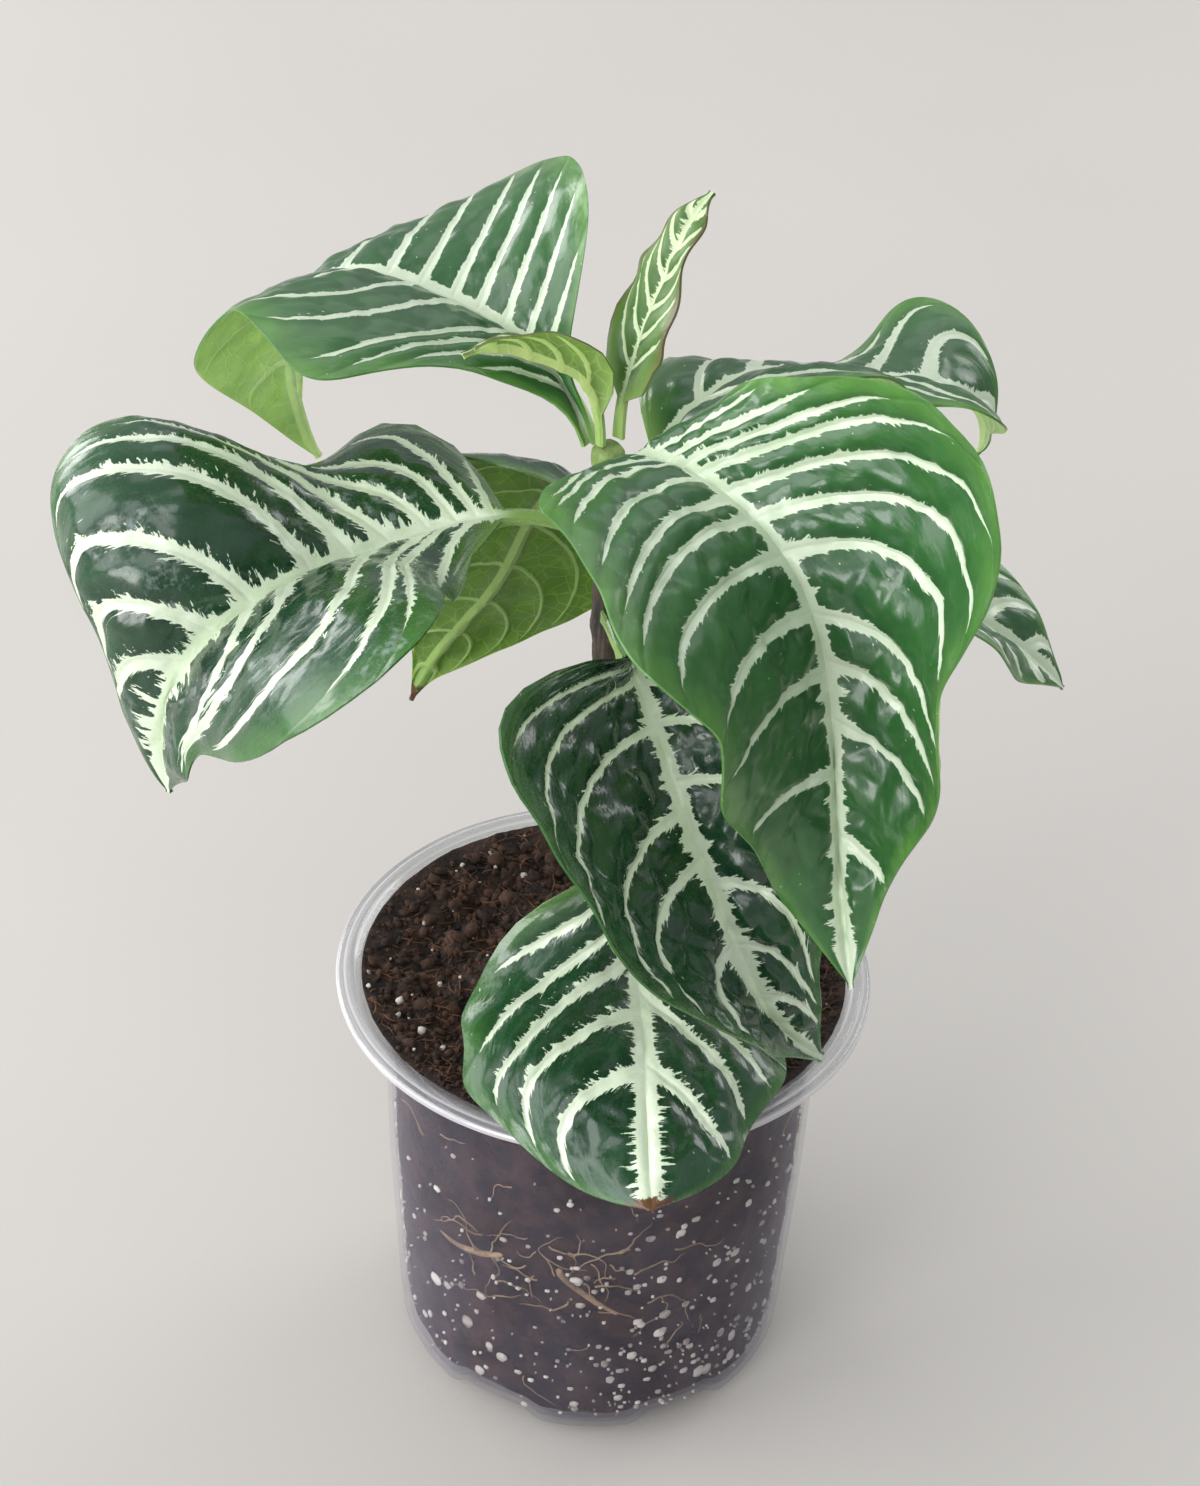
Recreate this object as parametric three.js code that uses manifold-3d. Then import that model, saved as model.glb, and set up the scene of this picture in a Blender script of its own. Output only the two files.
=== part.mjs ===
// Aphelandra zebra plant in a clear nursery pot.
// Millimetres, +Z up. The origin is the centre of the pot's base, on the table.
// The front of the plant is -Y.
import * as THREE from 'three';
import { mergeVertices } from 'three/addons/utils/BufferGeometryUtils.js';
import Module from 'manifold-3d';

const wasm = await Module();
wasm.setup();

// ---------------------------------------------------------------- dimensions
const SEGMENTS = 60;           // round the pot and the soil
const RIM_RADIUS = 60;         // outside of the rolled rim
const RIM_TOP = 106;
const RIM_FOOT = 103.3;        // height of the roll's lower edge
const RIM_MOUTH = 55.9;
const NECK = 50.6;             // outside radius under the rim
const LEDGE = 49.3;            // outside radius below the stacking ledge
const LEDGE_HEIGHT = 95;
const BODY_MID = 48.0;         // at 56 high
const BODY_LOW = 45.3;         // above the rounded bottom edge
const WALL = 1.1;
const FLOOR = 1.4;
const FEET = 6;                // flats between the notches in the bottom edge
const NOTCH_RISE = 3.4;
const FOOT_HALF_ANGLE = 13;
const NOTCH_START_ANGLE = 21;
const SOIL_GAP = 0.45;         // clear of the pot wall
const SOIL_LEVEL = 102.2;      // nearly up to the pot's mouth
const SOIL_EDGE = [54.3, 105.1]; // where the mix meets the flare under the mouth
const STEM_FOOT = 80;         // the stem goes this far down into the soil
const CROWN_FOOT = 58;
const STEM_TOP = 242.2;
const STEM_RADIUS = 2.9;
const STEM_LEAN = 3.8;         // the top stands this far to -X
const NODE_SWELL = 0.55;
const NODE_HEIGHTS = [149, 198.5, 220, 239];
const HOLE_GAP = 0.4;          // plain hole round stem and roots
const ROOT_CLEAR = 1.25;       // root centre to the pot's wall
const BLADE = 0.8;             // leaf thickness
const KEEL = 1.5;              // midrib standing out under the blade
const PETIOLE_HALF = 2.1;
const QUILT = 0.9;             // puckering between the side veins
const MARGIN_WAVE = 1.0;
const SWEEP = [0.55, 0.45];    // how far the side veins bow forward, and how early

// Each leaf: where it leaves the stem, petiole, blade length and half width,
// then knots evenly spaced from stem to tip (degrees): heading, pitch, bank.
// Knots along the blade: fold up from the midrib and curl down to the margin
// of each half, and the width outline as a share of the half width. A sweep is
// how far the side veins of a half bow towards the tip, and how early.
const LEAVES = {
  leaf_back_left: {
    colour: 0x47714a, veins: 8, at: [-7.6, 4.3, 239.7], petiole: 1, blade: 121.5, half: 40.2,
    heading: [143, 156, 167], pitch: [67, 18, -6, -83, -116], bank: [-12, 2, 3],
    foldLeft: [22, 16, 53], foldRight: [107, 11, 35], curlLeft: [4, 24, -3], curlRight: [-12, 28, -2],
    outline: [0, 0.21, 0.62, 1.13, 1.06, 0.76, 0.62, 0.25, 0],
    outlineRight: [0, 0.14, 0.79, 1.11, 1.04, 0.78, 0.58, 0.25, 0],
    sweepLeft: [0.37, 0.52], sweepRight: [0.13, 0.45],
  },
  leaf_front_right: {
    colour: 0x33703a, veins: 10, at: [-2.9, -4.1, 238.8], petiole: 7, blade: 147.3, half: 43.8,
    heading: [-66, -35, -74], pitch: [51, -3, -69, -81, -57], bank: [7, 25, 19],
    foldLeft: [20, 31, 32], foldRight: [13, 20, 18], curlLeft: [36, -93, 21], curlRight: [9, -24, 20],
    outline: [0, 0.32, 0.64, 1.35, 0.86, 0.72, 0.45, 0.22, 0],
    outlineRight: [0, 0.68, 0.9, 1.17, 0.92, 0.78, 0.47, 0.25, 0],
    sweepLeft: [0.29, 0.75], sweepRight: [0.12, -1.28],
  },
  leaf_left: {
    colour: 0x1f4a30, veins: 9, at: [-6.8, 1.9, 220.1], petiole: 20.3, blade: 111, half: 51,
    heading: [144, 218, 135], pitch: [0, -14, -4, -62, -101], bank: [-14, -3, -71],
    foldLeft: [3, 39, 8], foldRight: [11, 70, 39], curlLeft: [11, 26, 33], curlRight: [30, 111, 3],
    outline: [0, 0.53, 0.69, 0.99, 1.2, 0.83, 0.4, 0.29, 0],
    outlineRight: [0, 0.75, 0.66, 0.98, 1.18, 1.09, 0.42, 0.2, 0],
    sweepLeft: [0.79, 0.55], sweepRight: [0.55, 0.4],
  },
  leaf_right_back: {
    colour: 0x2c6038, veins: 7, at: [-1.2, 3.4, 221], petiole: 17.4, blade: 93.5, half: 34.2,
    heading: [58, 19, 12], pitch: [51, 34, -13, -14, -104], bank: [1, -13, 12],
    foldLeft: [18, -9, 47], foldRight: [18, 18, 18], curlLeft: [10, 32, -14], curlRight: [10, 10, 10],
    outline: [0, 0.62, 0.93, 1, 0.93, 0.76, 0.9, 0.28, 0],
  },
  leaf_front: {
    colour: 0x1f4f33, veins: 9, at: [-2.3, -3.9, 202.8], petiole: 4.9, blade: 116.2, half: 45,
    heading: [-79, -49, 30], pitch: [23, -29, -53, -66, -39], bank: [-16, 20, 38],
    foldLeft: [20, 32, 51], foldRight: [47, 7, 22], curlLeft: [14, 16, -42], curlRight: [17, -70, -6],
    outline: [0, 0.13, 1.04, 1.1, 0.9, 0.56, 0.34, 0.22, 0],
    outlineRight: [0, 0, 1.05, 1.07, 0.95, 0.74, 0.46, 0.16, 0],
    sweepLeft: [0.67, 0.13], sweepRight: [0.46, 0.28],
  },
  leaf_back_left_low: {
    colour: 0x3f5f2c, veins: 8, at: [-2.6, 3.9, 198.7], petiole: 24.8, blade: 118.6, half: 33.4,
    heading: [85, 136, 143], pitch: [64, -16, -66, -56, -68], bank: [25, 34, 44],
    foldLeft: [6, 13, 22], foldRight: [15, 9, 8], curlLeft: [29, 14, 2], curlRight: [10, 17, 19],
    outline: [0, 0.62, 0.92, 1, 0.95, 0.72, 0.5, 0.16, 0],
  },
  leaf_over_rim: {
    colour: 0x1e4c36, veins: 8, at: [-0.7, -3.8, 149.9], petiole: 9.8, blade: 88.9, half: 39.3,
    heading: [-61, -85, -85], pitch: [19, -79, -3, -23, -5], bank: [-5, -6, 8],
    foldLeft: [-10, 5, -6], foldRight: [3, 5, -16], curlLeft: [20, 40, 45], curlRight: [52, 32, 17],
    outline: [0, 0.59, 0.8, 0.89, 0.86, 0.77, 0.61, 0.42, 0],
    outlineRight: [0, 0.51, 0.79, 0.97, 0.98, 0.99, 0.75, 0.44, 0],
    sweepLeft: [0.62, 1.3], sweepRight: [0.74, 0.45],
  },
  leaf_right_low: {
    colour: 0x2c6038, veins: 8, at: [1.2, 2.9, 150.2], petiole: 21.8, blade: 110.5, half: 31,
    heading: [41, 26, -5], pitch: [44, 39, 2, -30, -47], bank: [0, 0, 11],
    foldLeft: [17, 28, 20], foldRight: [18, 26, 8], curlLeft: [16, 3, 13], curlRight: [15, 6, 26],
    outline: [0, 0.62, 0.93, 1, 0.93, 0.75, 0.59, 0.34, 0],
  },
  young_leaf_upright: {
    colour: 0x6f9a3f, veins: 7, at: [-2.0, 1.6, 242.8], petiole: 9, blade: 47, half: 14.4,
    heading: [56, 21, 42], pitch: [90, 77, 70, 66, 36], bank: [-1, -4, 0],
    foldLeft: [9, 6, 16], foldRight: [12, 10, 16], curlLeft: [11, 15, 3], curlRight: [7, 9, 3],
    outline: [0, 0.65, 0.79, 1.02, 0.93, 0.65, 0.44, 0.25, 0], petioleHalf: 1.3, keel: 0.8, quilt: 0.7,
  },
  young_leaf_folded: {
    colour: 0x7a9f4a, veins: 5, at: [-5.2, -0.6, 242.6], petiole: 7.4, blade: 35.4, half: 8.1,
    heading: [184, 190, 199], pitch: [88, 72, 28, 19, -17], bank: [0, 29, 17],
    foldLeft: [55, 55, 55], foldRight: [53, 45, 59], curlLeft: [15, 15, 15], curlRight: [17, 27, 9],
    outline: [0, 0.55, 0.91, 0.97, 0.9, 0.71, 0.47, 0.23, 0], petioleHalf: 1.2, keel: 0.7, quilt: 0.3,
  },
};

// Roots: points from inside the crown outwards, and start and end radius.
// The first two come out against the pot wall at the front.
const ROOTS = [
  { path: [[0, 0, 76], [-3, -12, 72], [-13, -34, 60], [-20.7, -40.8, 55], [-30.1, -34.1, 51], [-38.2, -24.7, 52]], radius: [1.3, 0.6] },
  { path: [[0, 0, 72], [3, -14, 69], [0, -34, 60], [-7.1, -45.2, 55], [-1, -45.4, 48], [6, -44.6, 42]], radius: [1.4, 0.6] },
  { path: [[0, 0, 74], [12, 4, 71], [26, 8, 60], [33, 10, 44]], radius: [1.3, 0.6] },
  { path: [[0, 0, 73], [8, 14, 67], [10, 28, 50], [2, 36, 34]], radius: [1.3, 0.6] },
  { path: [[0, 0, 70], [-12, 6, 67], [-26, 14, 56], [-34, 14, 40]], radius: [1.2, 0.6] },
  { path: [[0, 0, 66], [2, -2, 58], [8, -6, 40], [6, -14, 22]], radius: [1.4, 0.7] },
];

// ------------------------------------------------------------------- helpers
const rad = (degrees) => degrees * Math.PI / 180;
const clamp = (x, low, high) => Math.min(high, Math.max(low, x));
const smooth = (low, high, x) => {
  const f = clamp((x - low) / (high - low), 0, 1);
  return f * f * (3 - 2 * f);
};

// Catmull-Rom value through knots evenly spaced over 0..1.
function along(knots, u) {
  const last = knots.length - 1;
  const x = clamp(u, 0, 1) * last;
  const i = Math.min(Math.floor(x), last - 1);
  const f = x - i;
  const p1 = knots[i], p2 = knots[i + 1];
  const p0 = i > 0 ? knots[i - 1] : 2 * p1 - p2;
  const p3 = i < last - 1 ? knots[i + 2] : 2 * p2 - p1;
  return 0.5 * (2 * p1 + (p2 - p0) * f + (2 * p0 - 5 * p1 + 4 * p2 - p3) * f * f
    + (3 * p1 - p0 - 3 * p2 + p3) * f ** 3);
}

function meshFrom(points, triangles) {
  const geometry = new THREE.BufferGeometry();
  geometry.setAttribute('position', new THREE.Float32BufferAttribute(points, 3));
  geometry.setIndex(triangles);
  return geometry;
}

// Merge shared vertices and drop the triangles that this closes up.
function weld(source) {
  const bare = source.clone();
  bare.deleteAttribute('normal');
  bare.deleteAttribute('uv');
  const merged = mergeVertices(bare, 1e-3);
  const kept = [];
  const index = merged.getIndex().array;
  for (let i = 0; i < index.length; i += 3) {
    const [a, b, c] = [index[i], index[i + 1], index[i + 2]];
    if (a !== b && b !== c && a !== c) kept.push(a, b, c);
  }
  merged.setIndex(kept);
  return merged;
}

function solid(geometry) {
  const closed = weld(geometry);
  return new wasm.Manifold(new wasm.Mesh({
    numProp: 3,
    vertProperties: new Float32Array(closed.getAttribute('position').array),
    triVerts: new Uint32Array(closed.getIndex().array),
  }));
}

function geometryOf(manifold) {
  const mesh = manifold.getMesh();
  return meshFrom(Array.from(mesh.vertProperties), Array.from(mesh.triVerts));
}

// Closed tube round a list of centres, with a radius at each.
function tube(centres, radii, sides) {
  const points = [], triangles = [];
  const count = centres.length;
  const u = new THREE.Vector3(0.6, 0.8, 0);
  for (let i = 0; i < count; i++) {
    const ahead = centres[Math.min(i + 1, count - 1)].clone().sub(centres[Math.max(i - 1, 0)]).normalize();
    u.addScaledVector(ahead, -u.dot(ahead)).normalize();
    const v = ahead.clone().cross(u);
    for (let j = 0; j < sides; j++) {
      const t = 2 * Math.PI * j / sides;
      const p = centres[i].clone().addScaledVector(u, radii[i] * Math.cos(t)).addScaledVector(v, radii[i] * Math.sin(t));
      points.push(p.x, p.y, p.z);
    }
  }
  for (let i = 0; i < count - 1; i++) {
    for (let j = 0; j < sides; j++) {
      const a = i * sides + j, b = i * sides + (j + 1) % sides;
      triangles.push(a, b, b + sides, a, b + sides, a + sides);
    }
  }
  for (const [ring, centre, flip] of [[0, centres[0], true], [count - 1, centres[count - 1], false]]) {
    const middle = points.length / 3;
    points.push(centre.x, centre.y, centre.z);
    for (let j = 0; j < sides; j++) {
      const a = ring * sides + j, b = ring * sides + (j + 1) % sides;
      triangles.push(middle, flip ? b : a, flip ? a : b);
    }
  }
  return meshFrom(points, triangles);
}

// ----------------------------------------------------------------- pot, soil
const lathe = (profile) => new THREE.LatheGeometry(profile.map(([r, z]) => new THREE.Vector2(r, z)), SEGMENTS)
  .rotateX(Math.PI / 2);

// How far the rounded bottom edge is raised by the notches between the feet.
function notchRise(x, y, z) {
  const pitch = 360 / FEET;
  const turn = THREE.MathUtils.radToDeg(Math.atan2(y, x)) + 90;
  const away = Math.abs(((turn % pitch) + pitch * 1.5) % pitch - pitch / 2);
  return NOTCH_RISE * smooth(FOOT_HALF_ANGLE, NOTCH_START_ANGLE, away)
    * smooth(31, 38, Math.hypot(x, y)) * (1 - smooth(4, 13, z));
}

function raiseNotches(geometry) {
  const position = geometry.getAttribute('position');
  for (let i = 0; i < position.count; i++) {
    const [x, y, z] = [position.getX(i), position.getY(i), position.getZ(i)];
    if (z < 14) position.setZ(i, z + notchRise(x, y, z));
  }
  return geometry;
}

function pot() {
  const profile = [
    [0, 0], [30, 0], [36, 0], [40.5, 1.0], [43.4, 3.4], [44.9, 6.8], [BODY_LOW, 11],
    [BODY_MID, 56], [LEDGE, LEDGE_HEIGHT - 0.6], [NECK - 0.3, LEDGE_HEIGHT], [NECK, 101],
    [51.4, 102], [53, 102.9], [56.6, 103.2], [59.2, RIM_FOOT], [RIM_RADIUS, 104.2],
    [59.7, 105.2], [58.8, 105.8], [57.3, RIM_TOP], [RIM_MOUTH, 105.6], [54.6, 104.6],
    [51.6, 103.9], [50.2, 102.6], [NECK - WALL, 100.6], [LEDGE - WALL, 94], [BODY_MID - WALL, 56], [BODY_LOW - WALL, 11],
    [43.7, 7.2], [42.2, 4.3], [39.8, 2.3], [36, FLOOR], [30, FLOOR], [0, FLOOR],
  ];
  return weld(raiseNotches(lathe(profile)));
}

// Lumps of the mix at a place on its top.
const soilRelief = (x, y) => (1.1 * Math.sin(0.21 * x + 1.3) * Math.cos(0.17 * y - 0.4)
  + 0.7 * Math.sin(0.43 * x - 0.31 * y) + 0.6 * Math.cos(0.52 * y + 0.36 * x + 2))
  * smooth(3, 8, Math.hypot(x, y)) * (1 - 0.9 * smooth(40, 46.5, Math.hypot(x, y)));

function soilBlock() {
  const hole = STEM_RADIUS + HOLE_GAP;
  const g = WALL + SOIL_GAP;
  const profile = [
    [0, 2.2], [29, 2.4], [35.4, 2.8], [38.9, 3.6], [41.2, 5.6], [42.9, 8.2], [BODY_LOW - g, 12],
    [BODY_MID - g, 56], [LEDGE - g, 93.6], [NECK - g - 0.05, 100.7], [49.7, 102.9], [51.3, 104.37],
    SOIL_EDGE, [46.5, SOIL_LEVEL + 1.2],
    [39, SOIL_LEVEL], [30, SOIL_LEVEL], [21, SOIL_LEVEL], [12, SOIL_LEVEL], [5, SOIL_LEVEL],
    [hole, SOIL_LEVEL], [hole, STEM_FOOT - HOLE_GAP], [0, STEM_FOOT - HOLE_GAP],
  ];
  const block = raiseNotches(lathe(profile));
  const position = block.getAttribute('position');
  for (let i = 0; i < position.count; i++) {
    const [x, y, z] = [position.getX(i), position.getY(i), position.getZ(i)];
    if (z > SOIL_LEVEL - 0.1 && Math.hypot(x, y) < SOIL_EDGE[0] - 5) position.setZ(i, z + soilRelief(x, y));
  }
  return solid(block);
}

// ------------------------------------------------------------ stem and roots
const stemCentre = (z) => new THREE.Vector3(-STEM_LEAN * clamp((z - 98) / 142, 0, 1), 0, z);

function stemTube() {
  const heights = [STEM_FOOT, 90, 98];
  for (const node of NODE_HEIGHTS) heights.push(node - 8, node - 3, node, node + 1.5);
  heights.push(STEM_TOP - 0.4, STEM_TOP);
  const radii = heights.map((z) => {
    const swell = NODE_HEIGHTS.reduce((sum, node) => sum + Math.exp(-(((z - node) / 2.6) ** 2)), 0);
    return (z === STEM_TOP ? 0.8 : 1) * (STEM_RADIUS + (z > 98 ? NODE_SWELL * swell : 0));
  });
  return tube(heights.map(stemCentre), radii, 12);
}

// Inside radius of the pot's wall, which the roots stay clear of.
function wallInside(z) {
  const [low, mid, high] = [BODY_LOW - WALL, BODY_MID - WALL, LEDGE - WALL];
  return z < 56 ? low + (mid - low) * (z - 11) / 45 : mid + (high - mid) * (z - 56) / 38;
}

function rootTube({ path, radius }, extra) {
  const curve = new THREE.CatmullRomCurve3(path.map((p) => new THREE.Vector3(...p)));
  const steps = 2 * path.length;
  const centres = curve.getPoints(steps);
  for (const c of centres) {
    const inside = Math.min(1, (wallInside(c.z) - ROOT_CLEAR) / Math.hypot(c.x, c.y));
    c.set(c.x * inside, c.y * inside, c.z);
  }
  const radii = centres.map((_, i) => radius[0] + (radius[1] - radius[0]) * i / steps + extra);
  if (extra > 0) centres[steps].addScaledVector(centres[steps].clone().sub(centres[steps - 1]).normalize(), extra);
  return tube(centres, radii, 6);
}

// The thick crown under the stem, that every root leaves from.
function crown(extra) {
  const [top, foot] = [STEM_FOOT - HOLE_GAP + 2 * extra, CROWN_FOOT - extra];
  const centres = [0, 0.5, 1].map((f) => new THREE.Vector3(0, 0, top + (foot - top) * f)).reverse();
  return tube(centres, [1.5, 2.1, 2.5].map((r) => r + extra), 10);
}

function roots() {
  let mass = solid(crown(0));
  for (const root of ROOTS) mass = mass.add(solid(rootTube(root, 0)));
  return weld(geometryOf(mass));
}

function soil() {
  let block = soilBlock().subtract(solid(crown(HOLE_GAP)));
  for (const root of ROOTS) block = block.subtract(solid(rootTube(root, 1.3 * HOLE_GAP)));
  return weld(geometryOf(block));
}

// -------------------------------------------------------------------- leaves
const MIDRIB_STEPS = 90;

function midrib(leaf) {
  const step = (leaf.petiole + leaf.blade) / MIDRIB_STEPS;
  const place = new THREE.Vector3(...leaf.at);
  const stations = [];
  for (let i = 0; i <= MIDRIB_STEPS; i++) {
    const u = i / MIDRIB_STEPS;
    const h = rad(along(leaf.heading, u)), e = rad(along(leaf.pitch, u)), b = rad(along(leaf.bank, u));
    const ahead = new THREE.Vector3(Math.cos(e) * Math.cos(h), Math.cos(e) * Math.sin(h), Math.sin(e));
    const level = new THREE.Vector3(-Math.sin(h), Math.cos(h), 0);
    const lift = ahead.clone().cross(level);
    const side = level.clone().multiplyScalar(Math.cos(b)).addScaledVector(lift, Math.sin(b));
    const up = lift.clone().multiplyScalar(Math.cos(b)).addScaledVector(level, -Math.sin(b));
    if (i > 0) place.addScaledVector(ahead.clone().add(stations[i - 1].ahead), step / 2);
    stations.push({ place: place.clone(), ahead, side, up });
  }
  return stations;
}

function stationAt(stations, u) {
  const x = clamp(u, 0, 1) * MIDRIB_STEPS;
  const i = Math.min(Math.floor(x), MIDRIB_STEPS - 1);
  const [a, b, f] = [stations[i], stations[i + 1], x - i];
  return {
    place: a.place.clone().lerp(b.place, f),
    side: a.side.clone().lerp(b.side, f),
    up: a.up.clone().lerp(b.up, f),
  };
}

// A point on the upper face: a is the place on the midrib that its side vein
// leaves from (negative in the petiole), t goes from midrib to margin.
function bladePoint(leaf, stations, a, t, hand) {
  const [bow, early] = (hand > 0 ? leaf.sweepLeft : leaf.sweepRight) ?? SWEEP;
  const swept = a > 0 ? a + bow * (1 - a) * (1 - Math.exp(-a / 0.12)) * (early * t + (1 - early) * t * t) : a;
  const x = clamp(swept, 0, 1);
  const outline = hand > 0 ? leaf.outline : leaf.outlineRight ?? leaf.outline;
  const { place, side, up } = stationAt(stations, (leaf.petiole + swept * leaf.blade) / (leaf.petiole + leaf.blade));
  const stalk = leaf.petioleHalf ?? PETIOLE_HALF;
  const width = swept <= 0 ? stalk
    : Math.max(Math.hypot(Math.max(along(outline, x), 0) * leaf.half, stalk * (1 - x)), 0.6);
  const fold = rad(along(hand > 0 ? leaf.foldLeft : leaf.foldRight, x));
  let curl = rad(along(hand > 0 ? leaf.curlLeft : leaf.curlRight, x));
  if (Math.abs(curl) < 1e-3) curl = 1e-3;
  const slope = fold - curl * t;
  const across = width * (Math.sin(fold) - Math.sin(slope)) / curl;
  const rise = width * (Math.cos(slope) - Math.cos(fold)) / curl;
  const normal = side.clone().multiplyScalar(-Math.sin(slope) * hand).addScaledVector(up, Math.cos(slope)).normalize();
  const inBlade = smooth(0, 0.12, x) * (1 - smooth(0.85, 1, x));
  const pucker = (leaf.quilt ?? QUILT) * Math.sin(Math.PI * leaf.veins * Math.max(a, 0)) ** 2
    * Math.sin(Math.PI * clamp(t, 0, 1) ** 0.8) * inBlade;
  const wave = MARGIN_WAVE * t * t * Math.sin(2 * Math.PI * (3.5 * x + 0.3 * hand)) * inBlade * (leaf.quilt ?? 1);
  const point = place.addScaledVector(side, across * hand).addScaledVector(up, rise).addScaledVector(normal, pucker + wave);
  return { point, normal, width, up };
}

const ACROSS = [1, 0.82, 0.58, 0.34, 0.12, 0];

function leafBlade(leaf) {
  const stations = midrib(leaf);
  const rows = [];
  const start = -leaf.petiole / leaf.blade;
  const stalkRows = leaf.petiole > 4 ? 3 : 1;
  for (let i = 0; i < stalkRows; i++) rows.push(start * (1 - i / stalkRows));
  for (let i = 0; i <= 2 * leaf.veins; i++) rows.push(i / (2 * leaf.veins));
  const columns = [...ACROSS.map((t) => [t, 1]), ...ACROSS.slice(0, -1).reverse().map((t) => [t, -1])];
  const wide = columns.length;
  const top = [], under = [];
  for (const a of rows) {
    for (const [t, hand] of columns) {
      const here = bladePoint(leaf, stations, a, t, hand);
      const normal = t === 0
        ? here.normal.clone().add(bladePoint(leaf, stations, a, 0, -1).normal).normalize() : here.normal;
      const keel = (leaf.keel ?? KEEL) * (a <= 0 ? 1 : (1 - a) ** 0.8) * Math.exp(-((t * here.width / 1.5) ** 2));
      top.push(...here.point.toArray());
      under.push(...here.point.clone().addScaledVector(normal, -BLADE - keel).toArray());
    }
  }
  const triangles = [];
  const lower = rows.length * wide;
  const quad = (a, b, c, d) => triangles.push(a, b, c, a, c, d);
  for (let i = 0; i < rows.length - 1; i++) {
    for (let j = 0; j < wide - 1; j++) {
      const a = i * wide + j, b = a + 1, c = b + wide, d = a + wide;
      if (j < wide / 2 - 1) {
        triangles.push(a, b, d, b, c, d, lower + a, lower + d, lower + b, lower + b, lower + d, lower + c);
      } else {
        triangles.push(a, b, c, a, c, d, lower + a, lower + c, lower + b, lower + a, lower + d, lower + c);
      }
    }
    const left = i * wide, right = left + wide - 1;
    quad(left, left + wide, lower + left + wide, lower + left);
    quad(right, lower + right, lower + right + wide, right + wide);
  }
  const tip = (rows.length - 1) * wide;
  for (let j = 0; j < wide - 1; j++) {
    quad(j, lower + j, lower + j + 1, j + 1);
    quad(tip + j, tip + j + 1, lower + tip + j + 1, lower + tip + j);
  }
  const geometry = meshFrom([...top, ...under], triangles);
  const closed = weld(geometry);
  let volume = 0;
  const p = closed.getAttribute('position'), index = closed.getIndex().array;
  const [u, v, w] = [new THREE.Vector3(), new THREE.Vector3(), new THREE.Vector3()];
  for (let i = 0; i < index.length; i += 3) {
    u.fromBufferAttribute(p, index[i]); v.fromBufferAttribute(p, index[i + 1]); w.fromBufferAttribute(p, index[i + 2]);
    volume += u.dot(v.cross(w));
  }
  if (volume < 0) closed.setIndex(Array.from(index).reverse());
  return closed;
}

// --------------------------------------------------------------------- plant
function piece(name, geometry, colour, roughness, extra = {}) {
  geometry.computeVertexNormals();
  const mesh = new THREE.Mesh(geometry, new THREE.MeshStandardMaterial({ color: colour, roughness, metalness: 0, ...extra }));
  mesh.name = name;
  return mesh;
}

const plant = new THREE.Group();
plant.name = 'aphelandra_in_pot';
plant.add(piece('pot', pot(), 0xdfe3ea, 0.25, { transparent: true, opacity: 0.45 }));
plant.add(piece('soil', soil(), 0x35251c, 0.95));
plant.add(piece('stem', weld(stemTube()), 0x3a3228, 0.6));
plant.add(piece('roots', roots(), 0xa5875c, 0.8));
for (const [name, leaf] of Object.entries(LEAVES)) {
  plant.add(piece(name, leafBlade(leaf), leaf.colour, 0.35));
}

export default plant;
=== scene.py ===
"""The looks of a zebra plant that stands in a clear nursery pot.

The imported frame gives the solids, in metres, with the centre of the pot's base
at the origin and the front of the plant towards -Y. Every piece here is built in
millimetres in that same frame and laid over the solid that it stands for.
"""

from __future__ import annotations

import logging
import math
from dataclasses import dataclass
from enum import Enum
from typing import Callable, Iterable, Sequence, Union

import bpy
import numpy as np
from mathutils import Matrix, Quaternion, Vector

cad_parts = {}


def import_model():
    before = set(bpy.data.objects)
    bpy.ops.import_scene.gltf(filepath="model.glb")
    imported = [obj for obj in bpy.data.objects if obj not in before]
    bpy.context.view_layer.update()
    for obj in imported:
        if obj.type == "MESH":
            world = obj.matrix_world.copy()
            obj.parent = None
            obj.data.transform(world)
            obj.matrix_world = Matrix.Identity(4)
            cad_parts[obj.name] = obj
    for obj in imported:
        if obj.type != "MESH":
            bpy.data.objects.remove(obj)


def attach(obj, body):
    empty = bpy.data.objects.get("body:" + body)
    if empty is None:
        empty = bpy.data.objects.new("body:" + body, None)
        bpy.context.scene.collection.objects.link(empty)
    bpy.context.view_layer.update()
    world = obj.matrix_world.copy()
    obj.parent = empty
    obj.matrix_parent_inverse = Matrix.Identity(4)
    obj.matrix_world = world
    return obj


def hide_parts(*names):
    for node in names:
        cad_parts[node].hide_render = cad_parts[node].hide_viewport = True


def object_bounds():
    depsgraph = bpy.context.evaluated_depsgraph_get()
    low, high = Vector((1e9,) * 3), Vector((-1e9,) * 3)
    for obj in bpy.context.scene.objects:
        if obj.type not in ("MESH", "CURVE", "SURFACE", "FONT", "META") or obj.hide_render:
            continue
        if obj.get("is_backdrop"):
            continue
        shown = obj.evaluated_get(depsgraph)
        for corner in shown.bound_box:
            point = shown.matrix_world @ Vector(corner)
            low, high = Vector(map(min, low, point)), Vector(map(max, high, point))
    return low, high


LOG = logging.getLogger("zebra_plant")
MM = 0.001
ROOT = "root"
STATIONS = 240  # steps along a midrib
SEED_STEP = 13  # from one leaf's random relief to the next one's

Colour = tuple[float, float, float]
Pair = tuple[tuple[float, ...], tuple[float, ...]]  # for a left and a right half
Array = np.ndarray
Tint = Union[bpy.types.NodeSocket, Colour]


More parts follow.
